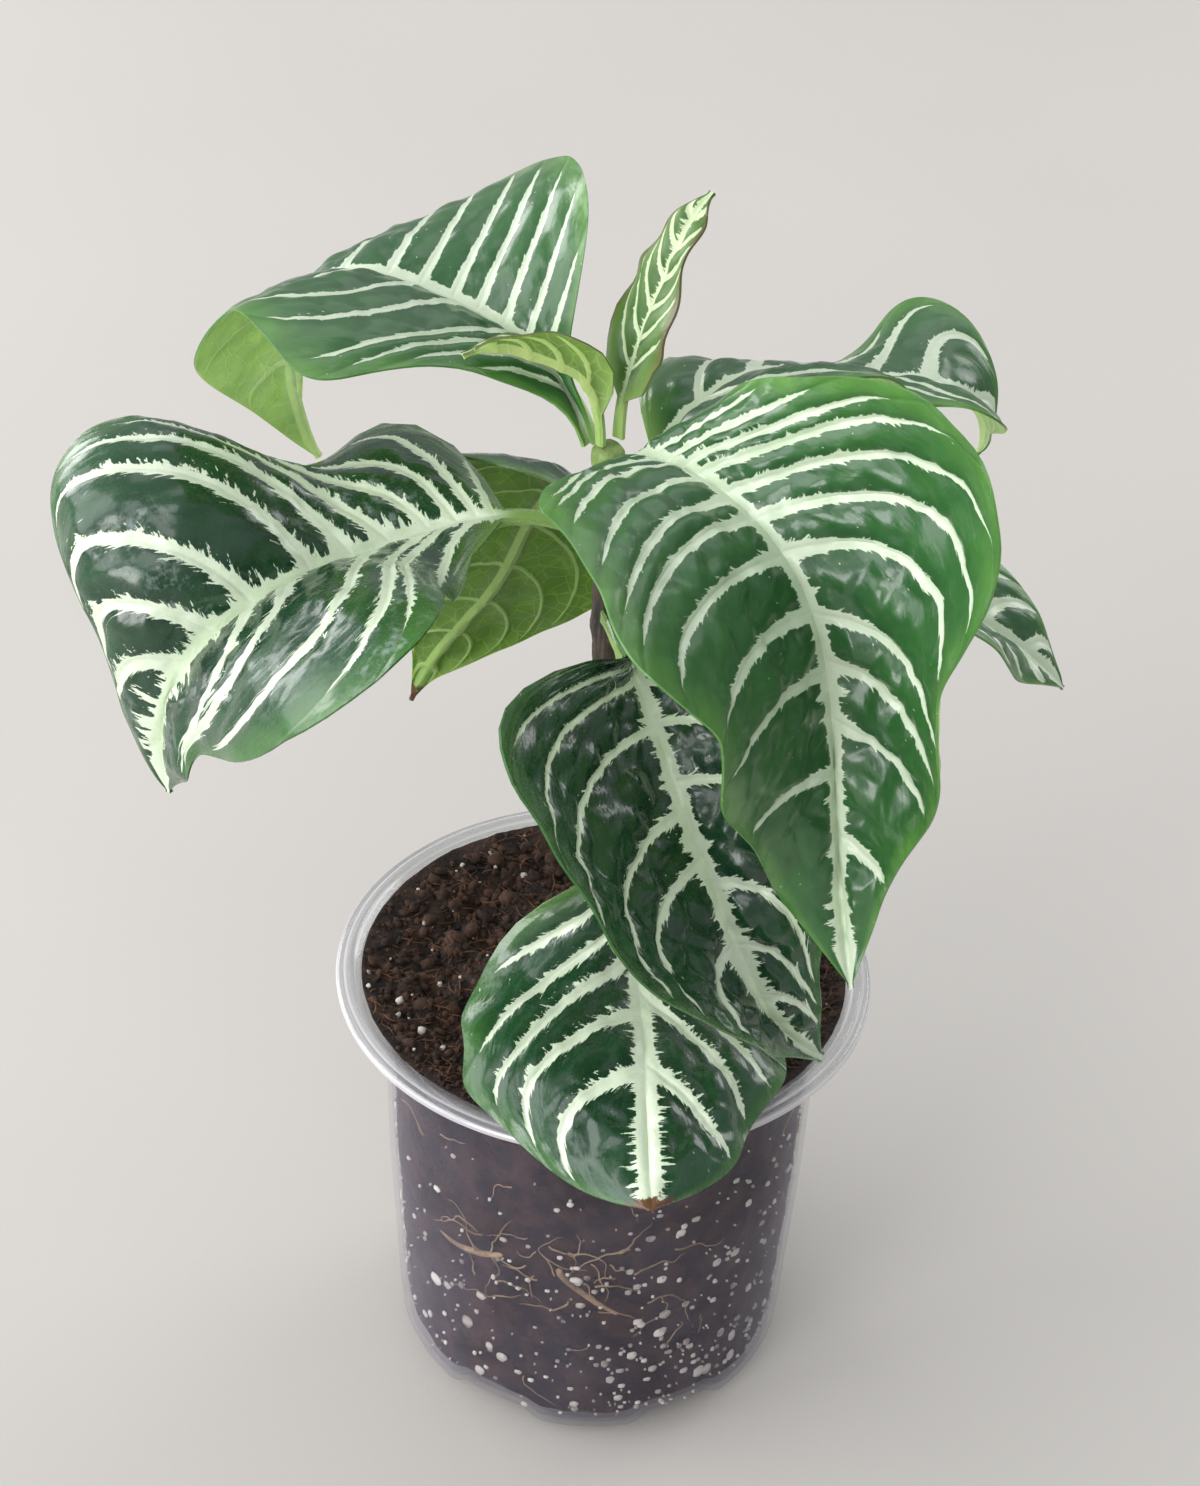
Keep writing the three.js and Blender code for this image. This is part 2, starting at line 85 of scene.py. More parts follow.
# --------------------------------------------------------------------- numbers
def srgb(red: int, green: int, blue: int) -> Colour:
    """A colour as shaders take it, from its 0 to 255 screen values.

    Args:
        red: Its red, 0 to 255.
        green: Its green.
        blue: Its blue.

    Returns:
        The three linear values.
    """
    return tuple(
        c / 12.92 if c <= 0.04045 else ((c + 0.055) / 1.055) ** 2.4
        for c in (red / 255, green / 255, blue / 255)
    )


def smooth(low: float, high: float, x: Array | float) -> Array:
    """A soft step from 0 at low to 1 at high."""
    f = np.clip((np.asarray(x, float) - low) / (high - low), 0, 1)
    return f * f * (3 - 2 * f)


def along(knots: Sequence[float], u: Array | float) -> Array:
    """Catmull-Rom value through knots.

    Args:
        knots: Values evenly spaced over 0 to 1.
        u: Places at which the value is wanted.

    Returns:
        The value at each place.
    """
    k = np.asarray(knots, float)
    last = len(k) - 1
    x = np.clip(np.asarray(u, float), 0, 1) * last
    i = np.minimum(np.floor(x).astype(int), last - 1)
    f = x - i
    padded = np.concatenate([[2 * k[0] - k[1]], k, [2 * k[-1] - k[-2]]])
    p0, p1, p2, p3 = padded[i], padded[i + 1], padded[i + 2], padded[i + 3]
    return 0.5 * (
        2 * p1
        + (p2 - p0) * f
        + (2 * p0 - 5 * p1 + 4 * p2 - p3) * f * f
        + (3 * p1 - p0 - 3 * p2 + p3) * f**3
    )


def unit(vectors: Array) -> Array:
    """Vectors made one long, along the last axis."""
    return vectors / np.maximum(np.linalg.norm(vectors, axis=-1, keepdims=True), 1e-9)


def polar(radius: Array | float, angle: Array, height: Array | float) -> Array:
    """Points from their radius, angle in radians and height."""
    x, y = radius * np.cos(angle), radius * np.sin(angle)
    return np.stack([x, y, height + 0 * x], -1)


def chance(corner: Array, seed: int) -> Array:
    """A number from -1 to 1 for each whole-numbered place, the same on every run.

    Args:
        corner: Whole numbers, three for each place.
        seed: Which set of numbers.

    Returns:
        One number for each place.
    """
    n = (
        corner[..., 0] * 73856093 ^ corner[..., 1] * 19349663 ^ corner[..., 2] * 83492791
        ^ seed * 2654435
    ) & 0x7FFFFFFF  # fmt: skip
    n = (n ^ (n >> 13)) * 1274126177 & 0x7FFFFFFF
    return ((n ^ (n >> 15)) & 0xFFFF) / 32767.5 - 1


def lumps(points: Array, size: float, seed: int) -> Array:
    """Smooth random relief.

    Args:
        points: Places, in millimetres.
        size: Width of one lump, in millimetres.
        seed: Which relief.

    Returns:
        A height between -1 and 1 at each place.
    """
    cells = np.asarray(points, float) / size + 0.37 * seed
    corner = np.floor(cells).astype(np.int64)
    f = cells - corner
    f = f * f * (3 - 2 * f)
    total = np.zeros(cells.shape[:-1])
    for step in np.ndindex(2, 2, 2):
        weight = np.prod(np.where(step, f, 1 - f), axis=-1)
        total += weight * chance(corner + np.array(step), seed)
    return total


def blisters(points: Array, size: float, seed: int) -> Array:
    """Swollen cells with a crease between neighbours.

    Args:
        points: Places, in millimetres.
        size: Width of one cell, in millimetres.
        seed: Which relief.

    Returns:
        0 in a crease, rising to 1 inside a cell.
    """
    cells = np.asarray(points, float) / size
    corner = np.floor(cells).astype(np.int64)
    first = np.full(cells.shape[:-1], 9.0)
    second = first.copy()
    for step in np.ndindex(3, 3, 3):
        near = corner + np.array(step) - 1
        heart = near + 0.5 + 0.42 * np.stack([chance(near, seed + k) for k in range(3)], -1)
        away = np.linalg.norm(cells - heart, axis=-1)
        second = np.minimum(second, np.maximum(first, away))
        first = np.minimum(first, away)
    return smooth(0, 0.5, second - first)


# ---------------------------------------------------------------------- meshes
@dataclass
class Shape:
    """Points and faces of one piece, in millimetres, with what its finish reads."""

    points: Array
    faces: list[Sequence[int]] | Array
    materials: Array | None = None
    marks: dict[str, Array] | None = None

    def shown(
        self, name: str, finishes: Sequence[bpy.types.Material], sharp: float | None = None
    ) -> bpy.types.Object:
        """Makes the Blender object.

        Args:
            name: The piece's name.
            finishes: Its materials, in the order that the faces number them.
            sharp: Degrees over which an edge is left hard, or None for none.

        Returns:
            The linked object, smooth shaded.
        """
        mesh = bpy.data.meshes.new(name)
        faces = self.faces.tolist() if isinstance(self.faces, np.ndarray) else self.faces
        mesh.from_pydata((self.points * MM).tolist(), [], faces)
        mesh.shade_smooth()
        if self.materials is not None:
            mesh.polygons.foreach_set("material_index", self.materials.astype(np.int32))
        for key, values in (self.marks or {}).items():
            kind, field = ("FLOAT_VECTOR", "vector") if values.ndim == 2 else ("FLOAT", "value")
            made = mesh.attributes.new(key, kind, "POINT")
            made.data.foreach_set(field, values.astype(np.float32).ravel())
        if sharp is not None:
            mesh.set_sharp_from_angle(angle=math.radians(sharp))
        for finish in finishes:
            mesh.materials.append(finish)
        return linked(name, mesh)


def linked(name: str, data: bpy.types.ID) -> bpy.types.Object:
    """A new object in the scene that shows the data.

    Args:
        name: The object's name.
        data: Its mesh, camera or lamp.

    Returns:
        The object.
    """
    made = bpy.data.objects.new(name, data)
    bpy.context.scene.collection.objects.link(made)
    return made


def laid_over(piece: bpy.types.Object, node: str | None) -> bpy.types.Object:
    """Puts a piece on its body.

    Args:
        piece: The piece.
        node: The solid that it replaces, or None where it is an addition.

    Returns:
        The piece.
    """
    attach(piece, ROOT)
    if node:
        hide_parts(node)
    return piece


def grid_faces(rows: int, columns: int, closed: bool = False) -> Array:
    """Quads between neighbouring rows of points.

    Args:
        rows: Number of rows.
        columns: Points in a row.
        closed: Whether the last column joins the first.

    Returns:
        One row of four indices for each quad.
    """
    i, j = np.meshgrid(
        np.arange(rows - 1), np.arange(columns if closed else columns - 1), indexing="ij"
    )
    a, b = i * columns + j, i * columns + (j + 1) % columns
    return np.stack([a, b, b + columns, a + columns], -1).reshape(-1, 4)


def tube(centres: Array, radii: Array, sides: int) -> Shape:
    """A closed tube round a line of points.

    Args:
        centres: The line, one point a row.
        radii: Radius at each point.
        sides: Points round the tube.

    Returns:
        The tube, with both ends capped.
    """
    count = len(centres)
    ahead = unit(np.gradient(centres, axis=0))
    u = np.array([0.6, 0.8, 0.05])
    turn = 2 * np.pi * np.arange(sides) / sides
    rings = []
    for c, a, r in zip(centres, ahead, radii):
        u = unit(u - (u @ a) * a)
        v = np.cross(a, u)
        rings.append(c + r * (np.cos(turn)[:, None] * u + np.sin(turn)[:, None] * v))
    faces = grid_faces(count, sides, closed=True).tolist()
    faces.append(list(range(sides))[::-1])
    faces.append(list(range((count - 1) * sides, count * sides)))
    return Shape(np.concatenate(rings), faces)


def joined(shapes: Sequence[Shape]) -> Shape:
    """Several shapes as one mesh, with the marks that they all have.

    Args:
        shapes: The shapes, in the order of their points.

    Returns:
        The one mesh.
    """
    faces, start = [], 0
    for shape in shapes:
        faces += [[k + start for k in face] for face in shape.faces]
        start += len(shape.points)
    marks = {
        key: np.concatenate([shape.marks[key] for shape in shapes])
        for key in shapes[0].marks or {}
    }
    return Shape(np.concatenate([shape.points for shape in shapes]), faces, marks=marks)


def turned(profile: Array, segments: int) -> Shape:
    """A profile of radius and height turned round the upright axis.

    Args:
        profile: Radius and height of each point, the two ends on the axis.
        segments: Points round.

    Returns:
        The closed surface, with a hair's radius left at the axis.
    """
    angle = 2 * np.pi * np.arange(segments) / segments
    points = polar(np.maximum(profile[:, :1], 0.02), angle, profile[:, 1:])
    return Shape(points.reshape(-1, 3), grid_faces(len(profile), segments, closed=True))


def rounded(points: Sequence[Sequence[float]], step: float) -> Array:
    """Points along a smooth curve through the given ones.

    Args:
        points: Corner points, in order.
        step: Wanted spacing in millimetres.

    Returns:
        The curve's points, with the first and last kept.
    """
    corners = np.asarray(points, float)
    lengths = np.linalg.norm(np.diff(corners, axis=0), axis=1)
    place = [0.0]
    for i, length in enumerate(lengths):
        cuts = max(1, round(length / step))
        place += [(i + k / cuts) / len(lengths) for k in range(1, cuts + 1)]
    return np.stack([along(column, place) for column in corners.T], 1)


def scattered(base: Shape, places: Array, scales: Array, turns: Array, tones: Array) -> Shape:
    """Many copies of one small shape as a single mesh.

    Args:
        base: The shape, about one millimetre across and centred on the origin.
        places: Where each copy goes.
        scales: Three sizes for each copy.
        turns: A 3 by 3 rotation for each copy.
        tones: A number for each copy, which its finish reads.

    Returns:
        The joined copies.
    """
    local = base.points[None] * scales[:, None, :]
    points = np.einsum("nij,nkj->nki", turns, local) + places[:, None, :]
    size = len(base.points)
    faces = base.faces[None] + size * np.arange(len(places))[:, None, None]
    marks = {"tone": np.repeat(tones, size)}
    return Shape(points.reshape(-1, 3), faces.reshape(-1, 3), marks=marks)


def random_turns(rng: np.random.Generator, count: int) -> Array:
    """A rotation matrix for each of a number of copies."""
    return np.array([Quaternion(q).to_matrix() for q in unit(rng.normal(size=(count, 4)))])


def pebble(roughness: float, seed: int, fine: bool) -> Shape:
    """A small broken grain, one millimetre across.

    Args:
        roughness: How far its points stand in or out, as a share.
        seed: Which grain.
        fine: Whether it has 80 faces or 20.

    Returns:
        A closed triangle mesh.
    """
    golden = (1 + 5**0.5) / 2
    points = [
        unit(np.roll((side, up, 0.0), turn))
        for turn in range(3)
        for up in (golden, -golden)
        for side in (-1, 1)
    ]
    faces = [
        [0, 11, 5], [0, 5, 1], [0, 1, 7], [0, 7, 10], [0, 10, 11], [1, 5, 9], [5, 11, 4],
        [11, 10, 2], [10, 7, 6], [7, 1, 8], [3, 9, 4], [3, 4, 2], [3, 2, 6], [3, 6, 8],
        [3, 8, 9], [4, 9, 5], [2, 4, 11], [6, 2, 10], [8, 6, 7], [9, 8, 1],
    ]  # fmt: skip
    if fine:
        middles: dict[tuple[int, int], int] = {}
        split = []
        for a, b, c in faces:
            mids = []
            for p, q in ((a, b), (b, c), (c, a)):
                key = (min(p, q), max(p, q))
                if key not in middles:
                    middles[key] = len(points)
                    points.append(unit(points[p] + points[q]))
                mids.append(middles[key])
            ab, bc, ca = mids
            split += [[a, ab, ca], [b, bc, ab], [c, ca, bc], [ab, bc, ca]]
        faces = split
    ball = np.array(points)
    size = 0.5 * (1 + roughness * lumps(ball * 2.1, 1.0, seed))
    return Shape(ball * size[:, None], np.array(faces))


# --------------------------------------------------------------------- shaders
def feed(node: bpy.types.Node, values: dict[str | int, object]) -> bpy.types.Node:
    """Links a node's inputs, or sets plain values on them.

    Args:
        node: The node.
        values: A term, socket, number or colour for each input, which is known by
            its number or by its name with _ for a space.

    Returns:
        The node.
    """
    for key, value in values.items():
        place = node.inputs[key.replace("_", " ") if isinstance(key, str) else key]
        value = value.socket if isinstance(value, Term) else value
        if isinstance(value, bpy.types.NodeSocket):
            node.id_data.links.new(value, place)
        elif place.type == "RGBA" and len(value) == 3:
            place.default_value = (*value, 1)
        else:
            place.default_value = value
    return node


def math_method(name: str, swapped: bool = False) -> Callable[..., Term]:
    """Makes a method that lays one Math node.

    Args:
        name: The node's operation.
        swapped: Whether self goes in after the other value.

    Returns:
        The method.
    """

    def method(self: Term, *others: Term | float) -> Term:
        """Lays the node and returns its result."""
        values = (*others, self) if swapped else (self, *others)
        return Term(self.bench.node("Math", dict(enumerate(values)), operation=name).outputs[0])

    return method


@dataclass(frozen=True)
class Term:
    """A number in a shader tree. Arithmetic on it lays Math nodes."""

    socket: bpy.types.NodeSocket

    __add__ = __radd__ = math_method("ADD")
    __sub__ = math_method("SUBTRACT")
    __rsub__ = math_method("SUBTRACT", swapped=True)
    __mul__ = __rmul__ = math_method("MULTIPLY")
    __truediv__ = math_method("DIVIDE")
    __rtruediv__ = math_method("DIVIDE", swapped=True)
    __pow__ = math_method("POWER")
    __abs__ = math_method("ABSOLUTE")
    exponent = math_method("EXPONENT")
    least = math_method("MINIMUM")
    most = math_method("MAXIMUM")
    above = math_method("GREATER_THAN")
    rounded = math_method("ROUND")

    @property
    def bench(self) -> Bench:
        """A bench on the tree that the number is in."""
        return Bench(self.socket.id_data)

    def bell(self, width: float) -> Term:
        """1 at zero, falling off on both sides over a width."""
        scaled = self / width
        return (scaled * scaled * -1.0).exponent()

    def step(self, low: Term | float, high: Term | float) -> Term:
        """A soft step, 0 at low and 1 at high.

        Args:
            low: Where it starts.
            high: Where it has risen to 1.

        Returns:
            The step.
        """
        values = {"Value": self, "From_Min": low, "From_Max": high}
        node = self.bench.node("MapRange", values, interpolation_type="SMOOTHSTEP")
        return Term(node.outputs["Result"])


@dataclass
class Bench:
    """A node tree with short ways to lay the nodes that the finishes use."""

    tree: bpy.types.NodeTree

    def node(
        self, kind: str, values: dict[str | int, object] | None = None, **settings: object
    ) -> bpy.types.Node:
        """Lays a node.

        Args:
            kind: Its type, without the ShaderNode that all begin with.
            values: What goes into its inputs.
            **settings: Its own properties.

        Returns:
            The node.
        """
        node = self.tree.nodes.new(f"ShaderNode{kind}")
        for name, setting in settings.items():
            setattr(node, name, setting)
        return feed(node, values or {})

    def attribute(self, name: str) -> bpy.types.Node:
        """A node that reads a mesh attribute."""
        return self.node("Attribute", attribute_type="GEOMETRY", attribute_name=name)

    def number(self, name: str) -> Term:
        """A mesh attribute of one number."""
        return Term(self.attribute(name).outputs["Fac"])

    def place(self) -> bpy.types.NodeSocket:
        """The point in the object's own frame, in metres."""
        return self.node("TexCoord").outputs["Object"]

    def parts(self, vector: bpy.types.NodeSocket | str) -> tuple[Term, ...]:
        """The three parts of a vector, or of the mesh attribute with that name.

        Args:
            vector: A vector, or the attribute's name.

        Returns:
            Its x, y and z.
        """
        if isinstance(vector, str):
            vector = self.attribute(vector).outputs["Vector"]
        return tuple(Term(s) for s in self.node("SeparateXYZ", {0: vector}).outputs)

    def join(self, *parts: Term | float) -> bpy.types.NodeSocket:
        """A vector from three parts."""
        return self.node("CombineXYZ", dict(enumerate(parts))).outputs[0]

    def noise(
        self, vector: bpy.types.NodeSocket, scale: float, detail: float, roughness: float = 0.5
    ) -> Term:
        """Soft random values round 0.5, with scale lumps to one unit of the vector."""
        values = {"Vector": vector, "Scale": scale, "Detail": detail, "Roughness": roughness}
        return Term(self.node("TexNoise", values).outputs["Fac"])

    def cells(self, vector: bpy.types.NodeSocket, scale: float, feature: str) -> bpy.types.Node:
        """A Voronoi node with the wanted feature."""
        return self.node("TexVoronoi", {"Vector": vector, "Scale": scale}, feature=feature)

    def blend(self, share: Term, first: Tint, second: Tint) -> bpy.types.NodeSocket:
        """A colour between two, the first at 0 and the second at 1."""
        values = {"Factor": share, 6: first, 7: second}
        return self.node("Mix", values, data_type="RGBA", clamp_factor=True).outputs[2]

    def bump(self, height: Term, strength: float, distance: float) -> bpy.types.NodeSocket:
        """A normal bent by a height, distance in metres."""
        values = {"Height": height, "Strength": strength, "Distance": distance}
        return self.node("Bump", values).outputs[0]

    def group(self, name: str, **values: object) -> bpy.types.Node:
        """Places a node group, with its inputs set or linked by name."""
        return feed(self.node("Group", node_tree=bpy.data.node_groups[name]), values)


@dataclass
class GroupBench(Bench):
    """A bench for a node group, with named inputs and outputs."""

    def ends(self, way: str, kinds: dict[str, str]) -> bpy.types.Node:
        """Makes the group's sockets on one side, and lays the node that has them.

        Args:
            way: Input or Output.
            kinds: Float or Vector for each name, with _ for a space.

        Returns:
            The node.
        """
        for name, kind in kinds.items():
            self.tree.interface.new_socket(
                name.replace("_", " "), in_out=way.upper(), socket_type=f"NodeSocket{kind}"
            )
        return self.tree.nodes.new(f"NodeGroup{way}")

    def inputs(self, **kinds: str) -> dict[str, Term]:
        """Makes the group's inputs, Float or Vector, and gives their inside ends."""
        return {n: Term(s) for n, s in zip(kinds, self.ends("Input", kinds).outputs)}

    def outputs(self, **results: Term) -> None:
        """Makes the group's outputs."""
        feed(self.ends("Output", dict.fromkeys(results, "Float")), results)


@dataclass
class Paint(Bench):
    """A bench on a new material."""

    material: bpy.types.Material

    @classmethod
    def named(cls, name: str) -> Paint:
        """A bench on a material made with that name.

        Args:
            name: The material's name.

        Returns:
            The bench.
        """
        material = bpy.data.materials.new(name)
        material.use_nodes = True
        return cls(material.node_tree, material)

    def mottle(self, broad: float, fine: float, seed: float) -> tuple[Term, ...]:
        """Unevenness of two widths, and grain.

        Args:
            broad: Width of the broad lumps, in millimetres.
            fine: Width of the fine ones.
            seed: Which unevenness.

        Returns:
            The broad, the fine and the grain, each from 0 to 1.
        """
        node = self.group(
            "mottle", Place=self.place(), Broad_size=broad, Fine_size=fine, Seed=seed
        )
        return tuple(Term(s) for s in node.outputs)

    def dressed(self, **values: object) -> bpy.types.Material:
        """The material, with its Principled shader's inputs fed."""
        feed(self.tree.nodes["Principled BSDF"], values)
        return self.material


def zebra_group() -> None:
    """Makes the group that lays cream bands with barbed edges along a leaf's veins.

    It gives the cream mask, the wrinkles from vein to vein, the crease at each
    vein and Panel, which rises from a vein to the middle between two veins for painted quilt shade.
    """
    g = GroupBench(bpy.data.node_groups.new("zebra_bands", "ShaderNodeTree"))
    names = (
        "Vein_Left Vein_Right Reach Across Along Spacing Run Tip Vigour Band Feather Rib"
        " Streak End Seed"
    )
    i = g.inputs(**dict.fromkeys(names.split(), "Float"))
    side = i["Reach"].above(0)
    vein = i["Vein_Right"] + side * (i["Vein_Left"] - i["Vein_Right"])
    cell = vein.rounded()
    offset = vein - cell
    lane_seed = cell * 5.3 + side * 31.0 + i["Seed"]
    away = abs(offset) * i["Spacing"]
    reach = abs(i["Reach"]) / (i["End"] * (0.5 + 0.5 * i["Vigour"]))
    fade = 1 - reach.step(0.6, 1.02)
    hand = offset.above(0)
    lane = g.join(i["Run"] * 0.6 - away * 0.85, away * 0.3 + hand * 9.0, lane_seed)
    coarse = g.noise(lane, 0.5, 1.0)
    barb = g.noise(lane, 1.25, 4.0, 0.68)
    spot = g.join(i["Across"], i["Along"], i["Seed"])
    fine = g.noise(spot, 2.4, 2.0, 0.7) - 0.5
    spike = barb.step(0.46, 0.78) * (1.15 - 0.5 * hand)
    edge = i["Feather"] * (spike * (0.7 + 2.8 * coarse) + (barb - 0.5) * 1.2 + fine * 0.5)
    grown = i["Tip"].step(0.02, 0.4)
    flare = i["Run"].bell(9.0) * 0.6 * grown
    body = i["Band"] * i["Vigour"] * (0.25 + 0.75 * fade + flare + (coarse - 0.5) * 0.7)
    half = body * (0.66 + 0.34 * grown) + edge * (0.45 + 0.55 * fade) * (0.5 + 0.5 * grown)
    half = half * fade.step(0.0, 0.22)
    band = 1 - away.step(half - 0.1, half + 0.1)
    band = band * half.above(0.05) * i["Along"].step(-1.0, 2.0) * i["Vigour"].above(0.05)
    fold = g.join(i["Run"] * 0.3 - away * 0.18, offset * 1.8, lane_seed)
    middle = abs(i["Across"])
    rail = g.join(i["Tip"] * 100.0, middle * 0.12, side * 17.0 + i["Seed"])
    tooth = g.noise(rail, 0.8, 4.0, 0.68)
    spikes = tooth.step(0.44, 0.8) * i["Streak"] * (0.7 + 1.3 * i["Tip"])
    uneven = i["Feather"] * ((tooth - 0.5) * 1.2 + fine * 0.6)
    rib = i["Rib"] * (0.8 + 0.4 * i["Tip"]) + spikes + uneven
    spine = 1 - middle.step(rib - 0.12, rib + 0.12)
    spine = spine * (1 - abs(i["Reach"]).step(0.5, 0.62))
    dots = g.cells(spot, 0.55, "F1")
    picked = g.parts(dots.outputs["Color"])[0] + (1 - (away - half).step(0.3, 2.6)) * 0.3
    speck = 1 - Term(dots.outputs["Distance"]).step(0.05, 0.11)
    speck = speck * picked.above(0.8) * i["Along"].above(2.0)
    g.outputs(
        Cream=band.most(spine).most(speck * 0.8).least(1.0),
        Wrinkle=g.noise(fold, 1.0, 2.0, 0.55),
        Crease=away.bell(0.55).most(middle.bell(0.6)),
        Panel=(abs(offset) * 2.0).step(0.1, 1.0),
    )


def mottle_group() -> None:
    """Makes the group for broad and fine unevenness, from a place in metres."""
    g = GroupBench(bpy.data.node_groups.new("mottle", "ShaderNodeTree"))
    i = g.inputs(Place="Vector", Broad_size="Float", Fine_size="Float", Seed="Float")

    def layer(size: Term, detail: float) -> Term:
        """Noise whose lumps are size millimetres wide.

        Args:
            size: Width of a lump.
            detail: Finer layers on top.

        Returns:
            The noise.
        """
        x, y, z = g.parts(i["Place"].socket)
        scale = 1000.0 / size.most(0.01)
        return g.noise(g.join(x * scale + i["Seed"], y * scale, z * scale), 1.0, detail, 0.55)

    broad, fine = layer(i["Broad_size"], 2.0), layer(i["Fine_size"], 3.0)
    g.outputs(Broad=broad.step(0.3, 0.7), Fine=fine.step(0.25, 0.75), Grain=fine)


# ---------------------------------------------------------------------- leaves
@dataclass(frozen=True)
class LeafFinish:
    """Colours and gloss of one kind of leaf."""

    deep: Colour
    body: Colour
    margin: Colour
    cream: Colour
    under: Colour
    under_vein: Colour
    petiole: Colour
    roughness: float
    coat: float


class LeafTone(Enum):
    """The leaves' kinds, by age."""

    DARK = LeafFinish(
        deep=srgb(14, 46, 30), body=srgb(30, 78, 42), margin=srgb(62, 110, 48),
        cream=srgb(218, 230, 208), under=srgb(92, 124, 48), under_vein=srgb(150, 180, 104),
        petiole=srgb(120, 150, 84), roughness=0.22, coat=0.35,
    )  # fmt: skip
    GREEN = LeafFinish(
        deep=srgb(32, 78, 42), body=srgb(52, 104, 46), margin=srgb(84, 136, 56),
        # Its under and under_vein are lighter than the underside's own green: painted light shining
        # through the thin blade.
        cream=srgb(206, 220, 196), under=srgb(184, 210, 154), under_vein=srgb(202, 221, 170),
        petiole=srgb(142, 178, 98), roughness=0.29, coat=0.3,
    )  # fmt: skip
    YOUNG = LeafFinish(
        deep=srgb(48, 86, 34), body=srgb(88, 126, 54), margin=srgb(96, 88, 56),
        cream=srgb(194, 210, 168), under=srgb(128, 160, 78), under_vein=srgb(188, 208, 134),
        petiole=srgb(150, 182, 104), roughness=0.38, coat=0.05,
    )  # fmt: skip


@dataclass
class LeafForm:
    """One leaf: where it leaves the stem, how it runs and how its blade is cut.

    Heading, pitch and bank are degrees at knots from the stem to the tip. What
    comes in pairs is for the left and the right half: degrees of fold and curl
    along the blade, the outline as a share of half_width, how far the side veins
    bow towards the tip and how early, and where they leave the midrib.

    Band, feather, rib and streak are millimetres of cream: along a side vein, its
    barbs, along the midrib and the midrib's spikes. Quilt, puff, blister and wave
    say how strongly the blade swells between its veins and waves at its margin,
    dust how many pale patches lie on it, partly real powdery residue and partly
    painted sheen, and dead_tip how many millimetres are brown.
    """

    node: str
    tone: LeafTone
    slot: str
    base: tuple[float, float, float]
    petiole: float
    blade: float
    half_width: float
    heading: tuple[float, ...]
    pitch: tuple[float, ...]
    bank: tuple[float, ...]
    fold: Pair
    curl: Pair
    outline: Pair
    veins: Pair
    sweep: Pair = ((0.55, 0.45), (0.55, 0.45))
    band: float = 1.1
    feather: float = 0.5
    rib: float = 1.5
    streak: float = 1.2
    petiole_half: float = 2.1
    keel: float = 1.5
    quilt: float = 0.9
    wave: float = 1.0
    dead_tip: float = 0.0
    dust_and_sheen: float = 0.06
    puff: float = 1.0
    blister: float = 0.4


